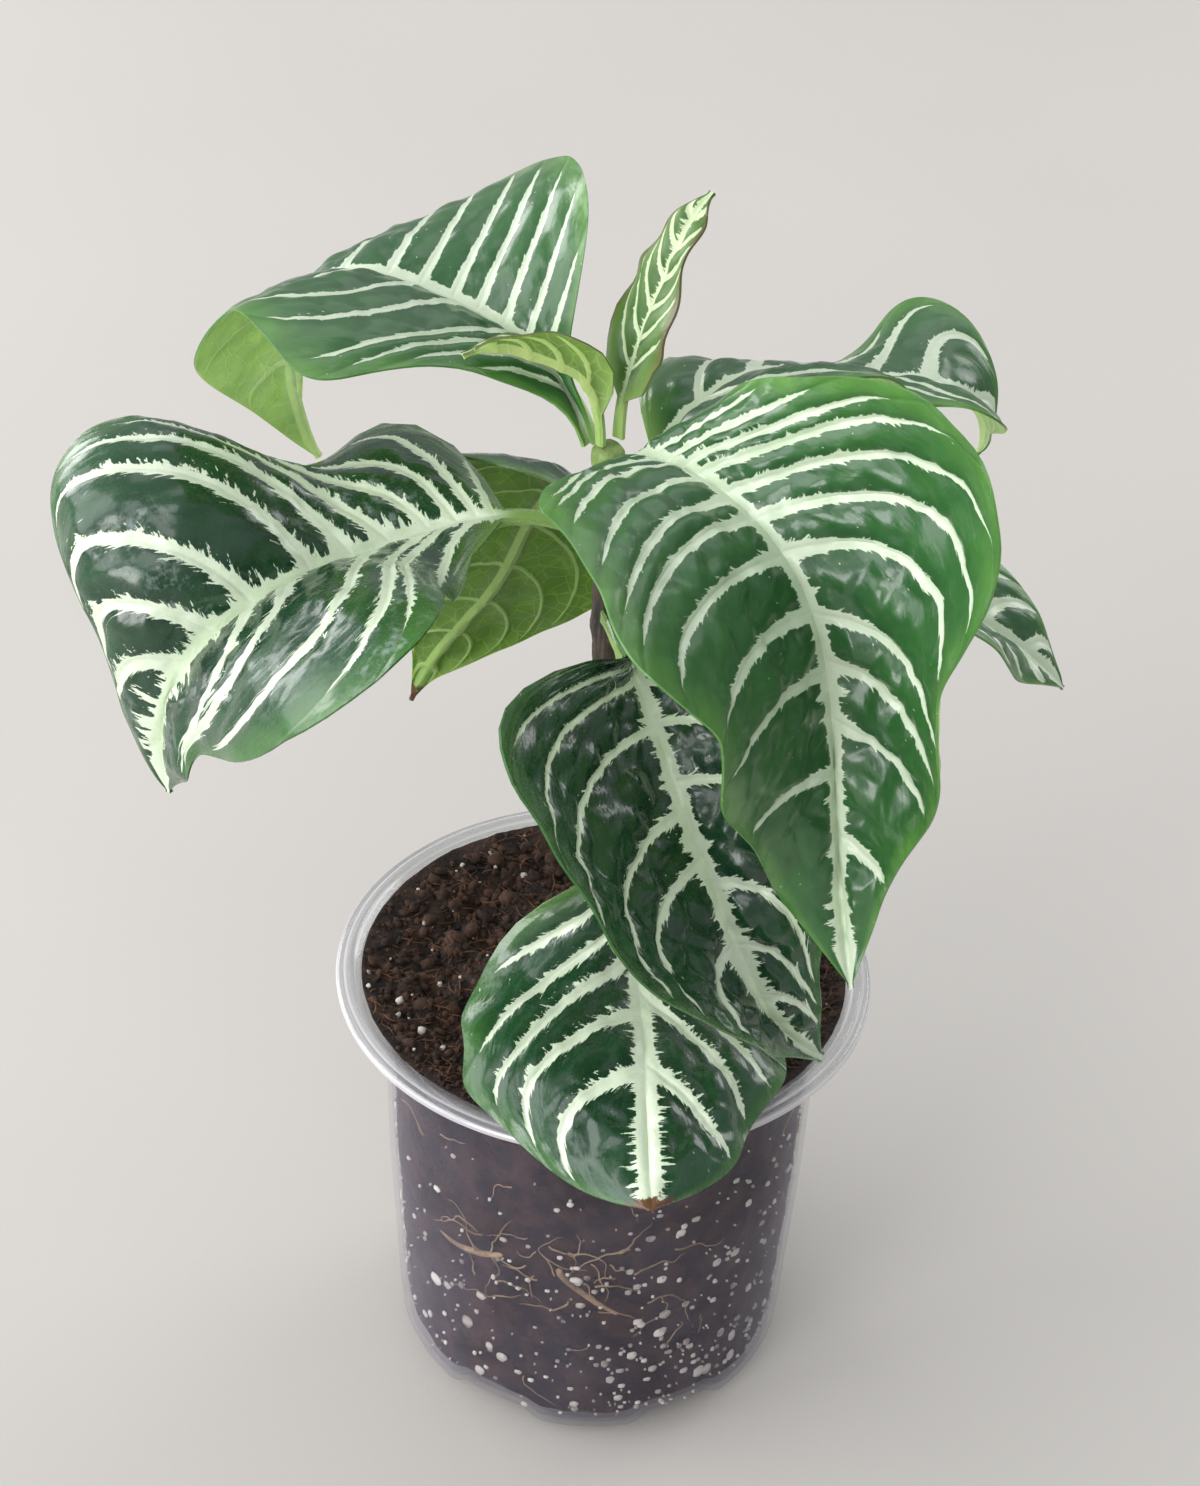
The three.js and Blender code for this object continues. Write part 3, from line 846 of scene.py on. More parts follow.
@dataclass
class Leaf:
    """Builds and dresses one leaf from its form."""

    form: LeafForm
    seed: int
    row_step: float = 0.85
    column_step: float = 1.0
    thickness: float = 0.5
    side_rib: float = 0.35
    stalk_step: float = 1.2
    least_width: float = 0.6
    groove: float = 0.45
    groove_half: float = 1.1
    keel_half: float = 1.5
    rib_half: float = 0.7
    waves: float = 3.5
    blister_size: float = 7.5

    def spine(self) -> tuple[Array, Array, Array]:
        """The midrib, at every station from the stem to the tip.

        Returns:
            Its points, and its side and up directions.
        """
        f = self.form
        u = np.linspace(0, 1, STATIONS + 1)
        h, e, b = (np.radians(along(k, u)) for k in (f.heading, f.pitch, f.bank))
        ahead = polar(np.cos(e), h, np.sin(e))
        level = polar(1, h + np.pi / 2, 0)
        lift = np.cross(ahead, level)
        side = level * np.cos(b)[:, None] + lift * np.sin(b)[:, None]
        up = lift * np.cos(b)[:, None] - level * np.sin(b)[:, None]
        steps = (ahead[1:] + ahead[:-1]) * (f.petiole + f.blade) / STATIONS / 2
        place = np.array(f.base) + np.concatenate([np.zeros((1, 3)), np.cumsum(steps, 0)])
        return place, side, up

    def vein_at(self, a: Array, hand: int) -> Array:
        """The side vein's number at a place along the midrib, whole at each vein."""
        places = self.form.veins[hand < 0]
        return np.interp(a, [0, *places, 1], np.arange(len(places) + 2))

    def vigour(self, a: Array, hand: int) -> Array:
        """1 near a side vein, and 0 at the blade's ends, which have none."""
        number = np.round(self.vein_at(a, hand))
        return ((number > 0) & (number <= len(self.form.veins[hand < 0]))).astype(float)

    def relief(self, points: Array, a: Array, t: Array, x: Array, hand: int) -> Array:
        """How far the upper face swells, waves and dents.

        Args:
            points: The smooth face.
            a: Places on the midrib that the side veins leave from.
            t: From 0 at the midrib to 1 at the margin.
            x: Places along the blade.
            hand: 1 for the left half, -1 for the right.

        Returns:
            The height at each point.
        """
        f = self.form
        in_blade = smooth(0, 0.12, x) * (1 - smooth(0.85, 1, x))
        swell = np.abs(np.sin(np.pi * self.vein_at(np.maximum(a, 0), hand))) ** 0.7
        pucker = f.quilt * f.puff * swell * np.sin(np.pi * t**0.8)
        wave = t * t * np.sin(2 * np.pi * (self.waves * x + 0.3 * hand)) * f.wave
        wave = wave + lumps(points, 10.0, self.seed + 3) * 0.7 * t**4
        dents = (
            lumps(points, 9.0, self.seed) * 0.6
            + lumps(points, 5.0, self.seed + 5) * 0.55 * swell
            + lumps(points, 2.6, self.seed) * 0.14
        )
        cells = blisters(points, self.blister_size, self.seed) - 0.6
        dents = dents * (0.3 + 0.7 * f.puff) + f.blister * cells
        return (pucker + wave + dents * np.sin(np.pi * t**0.7).clip(0) ** 0.5) * in_blade

    def half(self, a: Array, t: Array, hand: int) -> dict[str, Array]:
        """Points of one half of the upper face.

        Args:
            a: Places on the midrib that the side veins leave from.
            t: From 0 at the midrib to 1 at the margin.
            hand: 1 for the left half, -1 for the right.

        Returns:
            Points, normals, width and swept place, each with a row for each a.
        """
        f, k = self.form, int(hand < 0)
        a, t = np.meshgrid(a, t, indexing="ij")
        reach, early = f.sweep[k]
        bow = reach * (1 - a) * (1 - np.exp(-np.maximum(a, 0) / 0.12))
        swept = np.where(a > 0, a + bow * (early * t + (1 - early) * t * t), a)
        x = np.clip(swept, 0, 1)
        u = np.clip((f.petiole + swept * f.blade) / (f.petiole + f.blade), 0, 1) * STATIONS
        at = np.arange(STATIONS + 1)
        place, side, up = (
            np.stack([np.interp(u, at, column) for column in v.T], -1) for v in self.spine()
        )
        cut = np.maximum(along(f.outline[k], x), 0) * f.half_width
        width = np.maximum(np.hypot(cut, f.petiole_half * (1 - x)), self.least_width)
        width = np.where(swept <= 0, f.petiole_half, width)
        fold, curl = np.radians(along(f.fold[k], x)), np.radians(along(f.curl[k], x))
        curl = np.where(np.abs(curl) < 1e-3, 1e-3, curl)
        slope = fold - curl * t
        across = width * (np.sin(fold) - np.sin(slope)) / curl
        rise = width * (np.cos(slope) - np.cos(fold)) / curl
        normal = unit(
            side * (-np.sin(slope) * hand)[..., None] + up * np.cos(slope)[..., None]
        )
        points = place + side * (across * hand)[..., None] + up * rise[..., None]
        groove = -self.groove * np.exp(-((t * width / self.groove_half) ** 2))
        groove = groove * smooth(-0.02, 0.06, swept)
        points = points + normal * (self.relief(points, a, t, x, hand) + groove)[..., None]
        spacing = self.spacing(points, a, t, hand)
        names = ("points", "normal", "width", "swept", "a", "spacing")
        return dict(zip(names, (points, normal, width, swept, a, spacing)))

    def spacing(self, points: Array, a: Array, t: Array, hand: int) -> Array:
        """Millimetres between neighbouring side veins, square to them.

        Args:
            points: One half of the upper face.
            a: Places on the midrib that the side veins leave from.
            t: From 0 at the midrib to 1 at the margin.
            hand: 1 for the left half, -1 for the right.

        Returns:
            The spacing at each point.
        """
        slope = np.gradient(self.vein_at(a[:, 0], hand), a[:, 0])
        slope = np.convolve(np.pad(slope, 3, mode="edge"), np.ones(7) / 7, mode="valid")
        forward = np.gradient(points, axis=0) / np.gradient(a, axis=0)[..., None]
        outward = unit(np.gradient(points, t[0], axis=1))
        square = forward - (forward * outward).sum(-1, keepdims=True) * outward
        return np.linalg.norm(square, axis=-1) / np.maximum(slope[:, None], 0.5)

    def shape(self) -> Shape:
        """The whole blade and petiole, with its underside and edges.

        Returns:
            The shape, its upper faces and edges on material 0, its underside on 1.
        """
        f = self.form
        stalk = max(2, round(f.petiole / self.stalk_step))
        blade = max(40, round(f.blade / self.row_step))
        stalk_rows = np.linspace(-f.petiole / f.blade, 0, stalk, endpoint=False)
        rows = np.concatenate([stalk_rows, np.linspace(0, 1, blade + 1)])
        count = max(8, round(f.half_width / self.column_step))
        t = np.linspace(0, 1, count + 1)
        left, right = self.half(rows, t, 1), self.half(rows, t, -1)
        top, normal, width, swept, a, spacing = (
            np.concatenate([left[name][:, ::-1], right[name][:, 1:]], axis=1) for name in left
        )
        normal[:, count] = unit(left["normal"][:, 0] + right["normal"][:, 0])
        reach = np.broadcast_to(np.concatenate([t[::-1], -t[1:]]), a.shape)
        vein_left, vein_right = self.vein_at(a, 1), self.vein_at(a, -1)
        across = reach * width
        keel = f.keel * np.clip(1 - np.maximum(a, 0), 0, 1) ** 0.8
        keel = keel * np.exp(-((across / self.keel_half) ** 2))
        vein = np.where(reach > 0, vein_left, vein_right)
        off = np.abs(vein - np.round(vein)) * spacing
        ribs = self.side_rib * np.exp(-((off / self.rib_half) ** 2)) * smooth(0, 0.05, a)
        ribs = ribs * (1 - smooth(0.5, 0.95, np.abs(reach)))
        under = top - normal * (self.thickness + keel + ribs)[..., None]
        upper = grid_faces(*a.shape)
        place = np.arange(a.size).reshape(a.shape)
        rim = np.concatenate(
            [place[:, 0], place[-1, 1:], place[-2::-1, -1], place[0, -2:0:-1]]
        )
        ahead = np.roll(rim, -1)
        edge = np.stack([rim, ahead, ahead + a.size, rim + a.size], -1)
        marks = {
            "veins": (vein_left, vein_right, reach),
            "spread": (across, a * f.blade, spacing),
            "course": (np.hypot(across, (swept - a) * f.blade), swept, (1 - swept) * f.blade),
            "vigour": (np.where(reach > 0, self.vigour(a, 1), self.vigour(a, -1)),),
        }
        return Shape(
            np.concatenate([top.reshape(-1, 3), under.reshape(-1, 3)]),
            np.concatenate([upper, edge, upper[:, ::-1] + a.size]),
            np.repeat([0, 1], [len(upper) + len(edge), len(upper)]),
            {
                key: np.tile(np.stack(values, -1).reshape(a.size, -1), (2, 1)).squeeze()
                for key, values in marks.items()
            },
        )

    def banded(
        self, b: Paint, dead: Colour, **looks: float
    ) -> tuple[bpy.types.Node, Term, Callable[..., bpy.types.NodeSocket]]:
        """Places the zebra group on the leaf's own attributes.

        Args:
            b: The bench of the face's material.
            dead: Colour of a dead tip.
            **looks: The group's Band, Feather, Rib, Streak and End.

        Returns:
            The group, the reach from the midrib, and what turns a colour into the
            petiole's at the stalk and into the dead one at the tip.
        """
        left, right, reach = b.parts("veins")
        across, length, spacing = b.parts("spread")
        run, tip, to_tip = b.parts("course")
        bands = b.group(
            "zebra_bands", Vein_Left=left, Vein_Right=right, Reach=reach, Across=across,
            Along=length, Spacing=spacing, Run=run, Tip=tip, Vigour=b.number("vigour"),
            Seed=float(self.seed), **looks,
        )  # fmt: skip

        def ended(colour: bpy.types.NodeSocket, grain: Term) -> bpy.types.NodeSocket:
            """The colour with the leaf's two ends in it.

            Args:
                colour: The blade's colour.
                grain: What roughens the dead tip's border.

            Returns:
                The colour with both ends.
            """
            tip_length = self.form.dead_tip
            stalk = 1 - length.step(-4.0, 5.0)
            colour = b.blend(stalk, colour, self.form.tone.value.petiole)
            if not tip_length:
                return colour
            alive = (to_tip + (grain - 0.5) * 7.0).step(tip_length * 0.7, tip_length)
            return b.blend(1 - alive, colour, dead)

        return bands, reach, ended

    def upper_finish(self) -> bpy.types.Material:
        """The upper face: green panels with painted quilt shade, cream bands, gloss with patches of
        painted sheen, and fine skin.

        Returns:
            The material.
        """
        f, look = self.form, self.form.tone.value
        b = Paint.named(f"{f.node}_upper")
        bands, reach, ended = self.banded(
            b, srgb(96, 62, 38), Band=f.band, Feather=f.feather, Rib=f.rib, Streak=f.streak,
            End=0.94,
        )  # fmt: skip
        cream, wrinkle, crease, panel_shade = (Term(s) for s in bands.outputs)
        broad, fine, grain = b.mottle(9.0, 1.1, float(self.seed))
        outer = abs(reach).step(0.15, 0.95)
        # Darker near the veins and in the wrinkles' hollows, lighter in the middle between veins
        # and on the wrinkles' crests: painted quilt shade. The lighter outer part and the mottle
        # are the leaf's own colour.
        share = outer * 0.5 + panel_shade * 0.2 + broad * 0.25 + (wrinkle - 0.5) * 0.35 + fine * 0.1
        green = b.blend(share, look.deep, look.body)
        edge = abs(reach).step(0.76, 1.0) * (0.55 + 0.45 * broad)
        green = b.blend(edge.least(1.0), green, look.margin)
        # Pale patches: partly real powdery residue, partly painted sheen of the glossy skin; they
        # also make it rougher.
        film_and_sheen = b.noise(b.place(), 260.0, 3.0, 0.7).step(0.5, 0.72)
        film_and_sheen = film_and_sheen * b.noise(b.place(), 42.0, 1.0).step(0.5, 0.66) * f.dust_and_sheen
        green = b.blend(film_and_sheen, green, srgb(176, 188, 186))
        tint = b.blend(fine * 0.3, look.cream, srgb(190, 212, 166))
        skin = b.noise(b.place(), 1500.0, 2.0)
        height = skin * 0.1 + grain * 0.22 + wrinkle * 0.95 - crease * 0.6
        return b.dressed(
            Base_Color=ended(b.blend(cream, green, tint), grain),
            Roughness=look.roughness + fine * 0.09 + film_and_sheen * 0.4 + cream * 0.05,
            Normal=b.bump(height, 0.6, 0.0004),
            Coat_Weight=look.coat,
            Coat_Roughness=0.13,
            Specular_IOR_Level=0.5,
        )

    def under_finish(self) -> bpy.types.Material:
        """The paler underside, with a net of small veins. For the green leaves its colours also
        hold painted light shining through the blade.

        Returns:
            The material.
        """
        f, look = self.form, self.form.tone.value
        b = Paint.named(f"{f.node}_under")
        bands, _, ended = self.banded(
            b, srgb(84, 56, 36), Band=0.4, Feather=0.08, Rib=1.2, Streak=0.0, End=1.0
        )
        cream = Term(bands.outputs["Cream"])
        broad, fine, grain = b.mottle(12.0, 1.4, float(self.seed))
        net = Term(b.cells(b.place(), 260.0, "DISTANCE_TO_EDGE").outputs["Distance"])
        threads = 1 - net.step(0.0, 0.07)
        deep = tuple(0.68 * c for c in look.under)
        colour = b.blend(broad * 0.7 + fine * 0.3, deep, look.under)
        colour = b.blend(threads * 0.22, colour, look.under_vein)
        colour = b.blend(cream * 0.75, colour, look.under_vein)
        return b.dressed(
            Base_Color=ended(colour, grain),
            Roughness=0.5 + fine * 0.14,
            Normal=b.bump(threads * 0.4 + grain * 0.4 + cream * 0.5, 0.5, 0.0003),
            Specular_IOR_Level=0.4,
            Subsurface_Weight=0.6,
            Subsurface_Radius=(0.8, 1.0, 0.3),
            Subsurface_Scale=0.002,
        )

    def build(self) -> bpy.types.Object:
        """Makes the leaf and lays it over its solid.

        Returns:
            The leaf.
        """
        f = self.form
        skins = [self.upper_finish(), self.under_finish()]
        return laid_over(self.shape().shown(f"{f.node}_skin", skins, sharp=55), f.node)


def even(count: int) -> tuple[float, ...]:
    """Where side veins leave a midrib that has them evenly spaced."""
    return tuple(i / count for i in range(1, count))


LEAVES = (
    LeafForm(
        "leaf_back_left", LeafTone.GREEN, "leaf_green", (-7.6, 4.3, 239.7), 1, 121.5, 40.2,
        heading=(143, 156, 167), pitch=(67, 18, -6, -83, -116), bank=(-12, 2, 3),
        fold=((22, 16, 53), (107, 11, 35)), curl=((4, 24, -3), (-12, 28, -2)),
        outline=((0, 0.21, 0.62, 1.13, 1.06, 0.76, 0.62, 0.25, 0),
                 (0, 0.14, 0.79, 1.11, 1.04, 0.78, 0.58, 0.25, 0)),
        veins=((0.071, 0.112, 0.155, 0.208, 0.328, 0.414, 0.52, 0.66, 0.8),
               (0.146, 0.194, 0.243, 0.296, 0.345, 0.408, 0.469, 0.56, 0.67, 0.8)),
        sweep=((0.37, 0.52), (0.13, 0.45)), band=0.8, feather=0.32, rib=1.6, streak=0.8,
    ),
    LeafForm(
        "leaf_front_right", LeafTone.GREEN, "leaf_green", (-2.9, -4.1, 238.8), 7, 147.3, 43.8,
        heading=(-66, -35, -74), pitch=(51, -3, -69, -81, -57), bank=(7, 25, 19),
        fold=((20, 31, 32), (13, 20, 18)), curl=((36, -93, 21), (9, -24, 20)),
        outline=((0, 0.32, 0.64, 1.35, 0.86, 0.72, 0.45, 0.22, 0),
                 (0, 0.68, 0.9, 1.17, 0.92, 0.78, 0.47, 0.25, 0)),
        veins=((0.087, 0.125, 0.159, 0.189, 0.241, 0.296, 0.353, 0.445, 0.512, 0.599, 0.776),
               (0.095, 0.114, 0.147, 0.202, 0.258, 0.296, 0.358, 0.444, 0.53, 0.677)),
        sweep=((0.29, 0.75), (0.12, -1.28)), band=1.15, feather=0.55, rib=1.8, streak=1.8,
        puff=2.1, blister=0.7,
    ),
    LeafForm(
        "leaf_left", LeafTone.DARK, "leaf_dark", (-6.8, 1.9, 220.1), 20.3, 111, 51,
        heading=(144, 218, 135), pitch=(0, -14, -4, -62, -101), bank=(-14, -3, -71),
        fold=((3, 39, 8), (11, 70, 39)), curl=((11, 26, 33), (30, 111, 3)),
        outline=((0, 0.53, 0.69, 0.99, 1.2, 0.83, 0.4, 0.29, 0),
                 (0, 0.75, 0.66, 0.98, 1.18, 1.09, 0.42, 0.2, 0)),
        veins=((0.036, 0.1, 0.133, 0.248, 0.442, 0.516),
               (0.014, 0.048, 0.087, 0.141, 0.218, 0.294, 0.385, 0.518, 0.606, 0.689)),
        sweep=((0.79, 0.55), (0.55, 0.4)), band=1.4, feather=1.3, rib=2.1, streak=4.5, dust_and_sheen=0.4,
        puff=1.2, blister=0.5,
    ),
    LeafForm(
        "leaf_right_back", LeafTone.GREEN, "leaf_green", (-1.2, 3.4, 221), 17.4, 93.5, 34.2,
        heading=(58, 19, 12), pitch=(51, 34, -13, -14, -104), bank=(1, -13, 12),
        fold=((18, -9, 47), (18, 18, 18)), curl=((10, 32, -14), (10, 10, 10)),
        outline=((0, 0.62, 0.93, 1, 0.93, 0.76, 0.9, 0.28, 0),) * 2, veins=(even(7),) * 2,
        band=1.2,
    ),
    LeafForm(
        "leaf_front", LeafTone.DARK, "leaf_dark", (-2.3, -3.9, 202.8), 4.9, 116.2, 45,
        heading=(-79, -49, 30), pitch=(23, -29, -53, -66, -39), bank=(-16, 20, 38),
        fold=((20, 32, 51), (47, 7, 22)), curl=((14, 16, -42), (17, -70, -6)),
        outline=((0, 0.13, 1.04, 1.1, 0.9, 0.56, 0.34, 0.22, 0),
                 (0, 0, 1.05, 1.07, 0.95, 0.74, 0.46, 0.16, 0)),
        veins=((0.1, 0.17, 0.253, 0.361, 0.551, 0.676, 0.784),
               (0.097, 0.162, 0.26, 0.414, 0.504, 0.669)), sweep=((0.67, 0.13), (0.46, 0.28)),
        band=0.8, feather=0.75, rib=1.8, streak=2.6, puff=2.1, blister=1.1,
    ),
    LeafForm(
        "leaf_back_left_low", LeafTone.DARK, "leaf_green", (-2.6, 3.9, 198.7), 24.8, 118.6, 33.4,
        heading=(85, 136, 143), pitch=(64, -16, -66, -56, -68), bank=(25, 34, 44),
        fold=((6, 13, 22), (15, 9, 8)), curl=((29, 14, 2), (10, 17, 19)),
        outline=((0, 0.62, 0.92, 1, 0.95, 0.72, 0.5, 0.16, 0),) * 2, veins=(even(8),) * 2,
        dead_tip=6,
    ),
    LeafForm(
        "leaf_over_rim", LeafTone.DARK, "leaf_dark", (-0.7, -3.8, 149.9), 9.8, 88.9, 39.3,
        heading=(-61, -85, -85), pitch=(19, -79, -3, -23, -5), bank=(-5, -6, 8),
        fold=((-10, 5, -6), (3, 5, -16)), curl=((20, 40, 45), (52, 32, 17)),
        outline=((0, 0.59, 0.8, 0.89, 0.86, 0.77, 0.61, 0.42, 0),
                 (0, 0.51, 0.79, 0.97, 0.98, 0.99, 0.75, 0.44, 0)),
        veins=((0.07, 0.14, 0.225, 0.365, 0.6), (0.059, 0.149, 0.272, 0.43, 0.622)),
        sweep=((0.62, 1.3), (0.74, 0.45)), band=1.2, feather=0.95, rib=2.1, streak=2.0, puff=1.4,
        blister=0.6, dead_tip=4,
    ),
    LeafForm(
        "leaf_right_low", LeafTone.GREEN, "leaf_green", (1.2, 2.9, 150.2), 21.8, 110.5, 31,
        heading=(41, 26, -5), pitch=(44, 39, 2, -30, -47), bank=(0, 0, 11),
        fold=((17, 28, 20), (18, 26, 8)), curl=((16, 3, 13), (15, 6, 26)),
        outline=((0, 0.62, 0.93, 1, 0.93, 0.75, 0.59, 0.34, 0),) * 2, veins=(even(8),) * 2,
    ),
    LeafForm(
        "young_leaf_upright", LeafTone.YOUNG, "leaf_young", (-2.0, 1.6, 242.8), 9, 47, 14.4,
        heading=(56, 21, 42), pitch=(90, 77, 70, 66, 36), bank=(-1, -4, 0),
        fold=((9, 6, 16), (12, 10, 16)), curl=((11, 15, 3), (7, 9, 3)),
        outline=((0, 0.65, 0.79, 1.02, 0.93, 0.65, 0.44, 0.25, 0),) * 2, veins=(even(7),) * 2,
        petiole_half=1.3, keel=0.8, quilt=0.7, blister=0.15, band=0.42, feather=0.18, rib=0.6,
        wave=0.7,
    ),
    LeafForm(
        "young_leaf_folded", LeafTone.YOUNG, "leaf_young", (-5.2, -0.6, 242.6), 7.4, 35.4, 8.1,
        heading=(184, 190, 199), pitch=(88, 72, 28, 19, -17), bank=(0, 29, 17),
        fold=((55, 55, 55), (53, 45, 59)), curl=((15, 15, 15), (17, 27, 9)),
        outline=((0, 0.55, 0.91, 0.97, 0.9, 0.71, 0.47, 0.23, 0),) * 2, veins=(even(5),) * 2,
        petiole_half=1.2, keel=0.7, quilt=0.3, blister=0.05, band=0.35, feather=0.12, rib=0.5,
        wave=0.3,
    ),
)  # fmt: skip


# ------------------------------------------------------------------- pot, soil
@dataclass
class NurseryPot:
    """The clear thermoformed pot: tapered wall, stacking ledge, flared rim, feet."""

    neck: float = 50.6
    ledge: float = 49.3
    ledge_height: float = 95.0
    mid: float = 48.0
    low: float = 45.3
    wall: float = 1.1
    rim_top: float = 106.0
    feet: int = 6
    notch_rise: float = 3.4
    segments: int = 256

    def profile(self) -> Array:
        """The section, from the axis under the base up, over and back inside.

        Returns:
            Radius and height of each point.
        """
        wall = self.wall
        outside = [
            (36, 0), (38.4, 0.25), (40.5, 1.0), (42.2, 2.1), (43.4, 3.4), (44.9, 6.8),
            (self.low, 11), (46.1, 24), (47.1, 40), (self.mid, 56), (48.6, 75),
            (self.ledge, self.ledge_height - 1.2),
        ]  # fmt: skip
        ledge = [
            (self.ledge, self.ledge_height - 0.6), (self.neck - 0.3, self.ledge_height),
            (self.neck, self.ledge_height + 0.8), (self.neck, 100.4),
        ]  # fmt: skip
        flare = [
            (self.neck, 101.0), (51.4, 102.0), (53.0, 102.9), (54.8, 103.2), (56.6, 103.2),
            (57.6, 103.6),
        ]  # fmt: skip
        lip = [
            (58.2, 103.35), (59.2, 103.3), (59.9, 104.0), (59.95, 104.7), (59.6, 105.3),
            (58.8, 105.75), (58.0, 105.6), (57.4, self.rim_top), (56.6, 106.0), (55.9, 105.6),
            (54.6, 104.6),
        ]  # fmt: skip
        inside = [
            (53.2, 104.15), (51.6, 103.8), (50.2, 102.6),
            (self.neck - wall, 100.6), (self.ledge - wall, 94), (self.mid - wall, 56),
            (self.low - wall, 11), (43.7, 7.2), (42.2, 4.3), (39.8, 2.3), (36, 1.4),
        ]  # fmt: skip
        parts = [
            np.array([(0, 0), (15, 0), (30, 0)], float),
            rounded(outside, 1.6), rounded(ledge, 0.5), rounded(flare, 0.6),
            rounded(lip, 0.5), rounded(inside, 2.0),
            np.array([(30, 1.4), (15, 1.4), (0, 1.4)], float),
        ]  # fmt: skip
        return np.concatenate(parts)

    def raised(self, points: Array) -> Array:
        """Presses up the notches between the feet.

        Args:
            points: Points of the pot or of what fills it.

        Returns:
            The points, with the low ones between the feet lifted.
        """
        x, y, z = points.T
        pitch = 360 / self.feet
        turn = np.degrees(np.arctan2(y, x)) + 90
        away = np.abs(((turn % pitch) + pitch * 1.5) % pitch - pitch / 2)
        rise = self.notch_rise * smooth(13, 21, away)
        rise = rise * smooth(31, 38, np.hypot(x, y)) * (1 - smooth(4, 13, z))
        return points + np.stack([0 * x, 0 * x, rise], -1)

    def finish(self) -> bpy.types.Material:
        """Clear plastic, a little cloudy, and milkier where the rim is rolled, with painted
        highlight lines round the rim and at the ledge and painted sheen at grazing angles.

        Returns:
            The material.
        """
        b = Paint.named("clear_pot_plastic")
        x, y, z = b.parts(b.place())
        broad, fine, _ = b.mottle(26.0, 2.4, 3.0)
        ledge_band, lip_band = (0.0935, 0.0965), (0.1015, 0.1035)  # heights in metres
        rim, lip = z.step(*ledge_band), z.step(*lip_band)
        # More opaque at grazing angles: it strengthens the real reflections, and the pale colour it
        # shows there is painted sheen along the wall's edges.
        grazing_sheen = Term(b.node("LayerWeight", {"Blend": 0.42}).outputs["Facing"])
        radius = (x * x + y * y) ** 0.5 * 1000.0
        # Bright rings round the rolled rim and a bright line at the ledge, whiter and more opaque:
        # painted highlights, which cloud below also carries.
        rings = (radius - 55.7).bell(0.4) + (radius - 58.0).bell(0.35) + (radius - 59.8).bell(0.3)
        highlight_lines = (rings * lip + (z * 1000.0 - 95.2).bell(0.4)).least(1.0)
        cloud = 0.03 + broad * 0.05 + rim * 0.08 + lip * 0.22 + highlight_lines * 0.3
        colour = b.blend(rim, srgb(132, 128, 152), srgb(178, 176, 182))
        return b.dressed(
            Base_Color=b.blend(highlight_lines, colour, srgb(232, 230, 234)),
            Roughness=0.1 + fine * 0.08,
            Alpha=(cloud + grazing_sheen**3.0 * (0.4 + lip * 0.2)).least(0.95),
            Normal=b.bump(broad * 0.6, 0.2, 0.0006),
            IOR=1.5,
            Specular_IOR_Level=1.0,
            Coat_Weight=0.5,
            Coat_Roughness=0.06,
        )

    def build(self) -> bpy.types.Object:
        """Makes the pot and lays it over its solid.

        Returns:
            The pot.
        """
        shape = turned(self.profile(), self.segments)
        shape.points = self.raised(shape.points)
        return laid_over(shape.shown("pot_shell", [self.finish()], sharp=70), "pot")


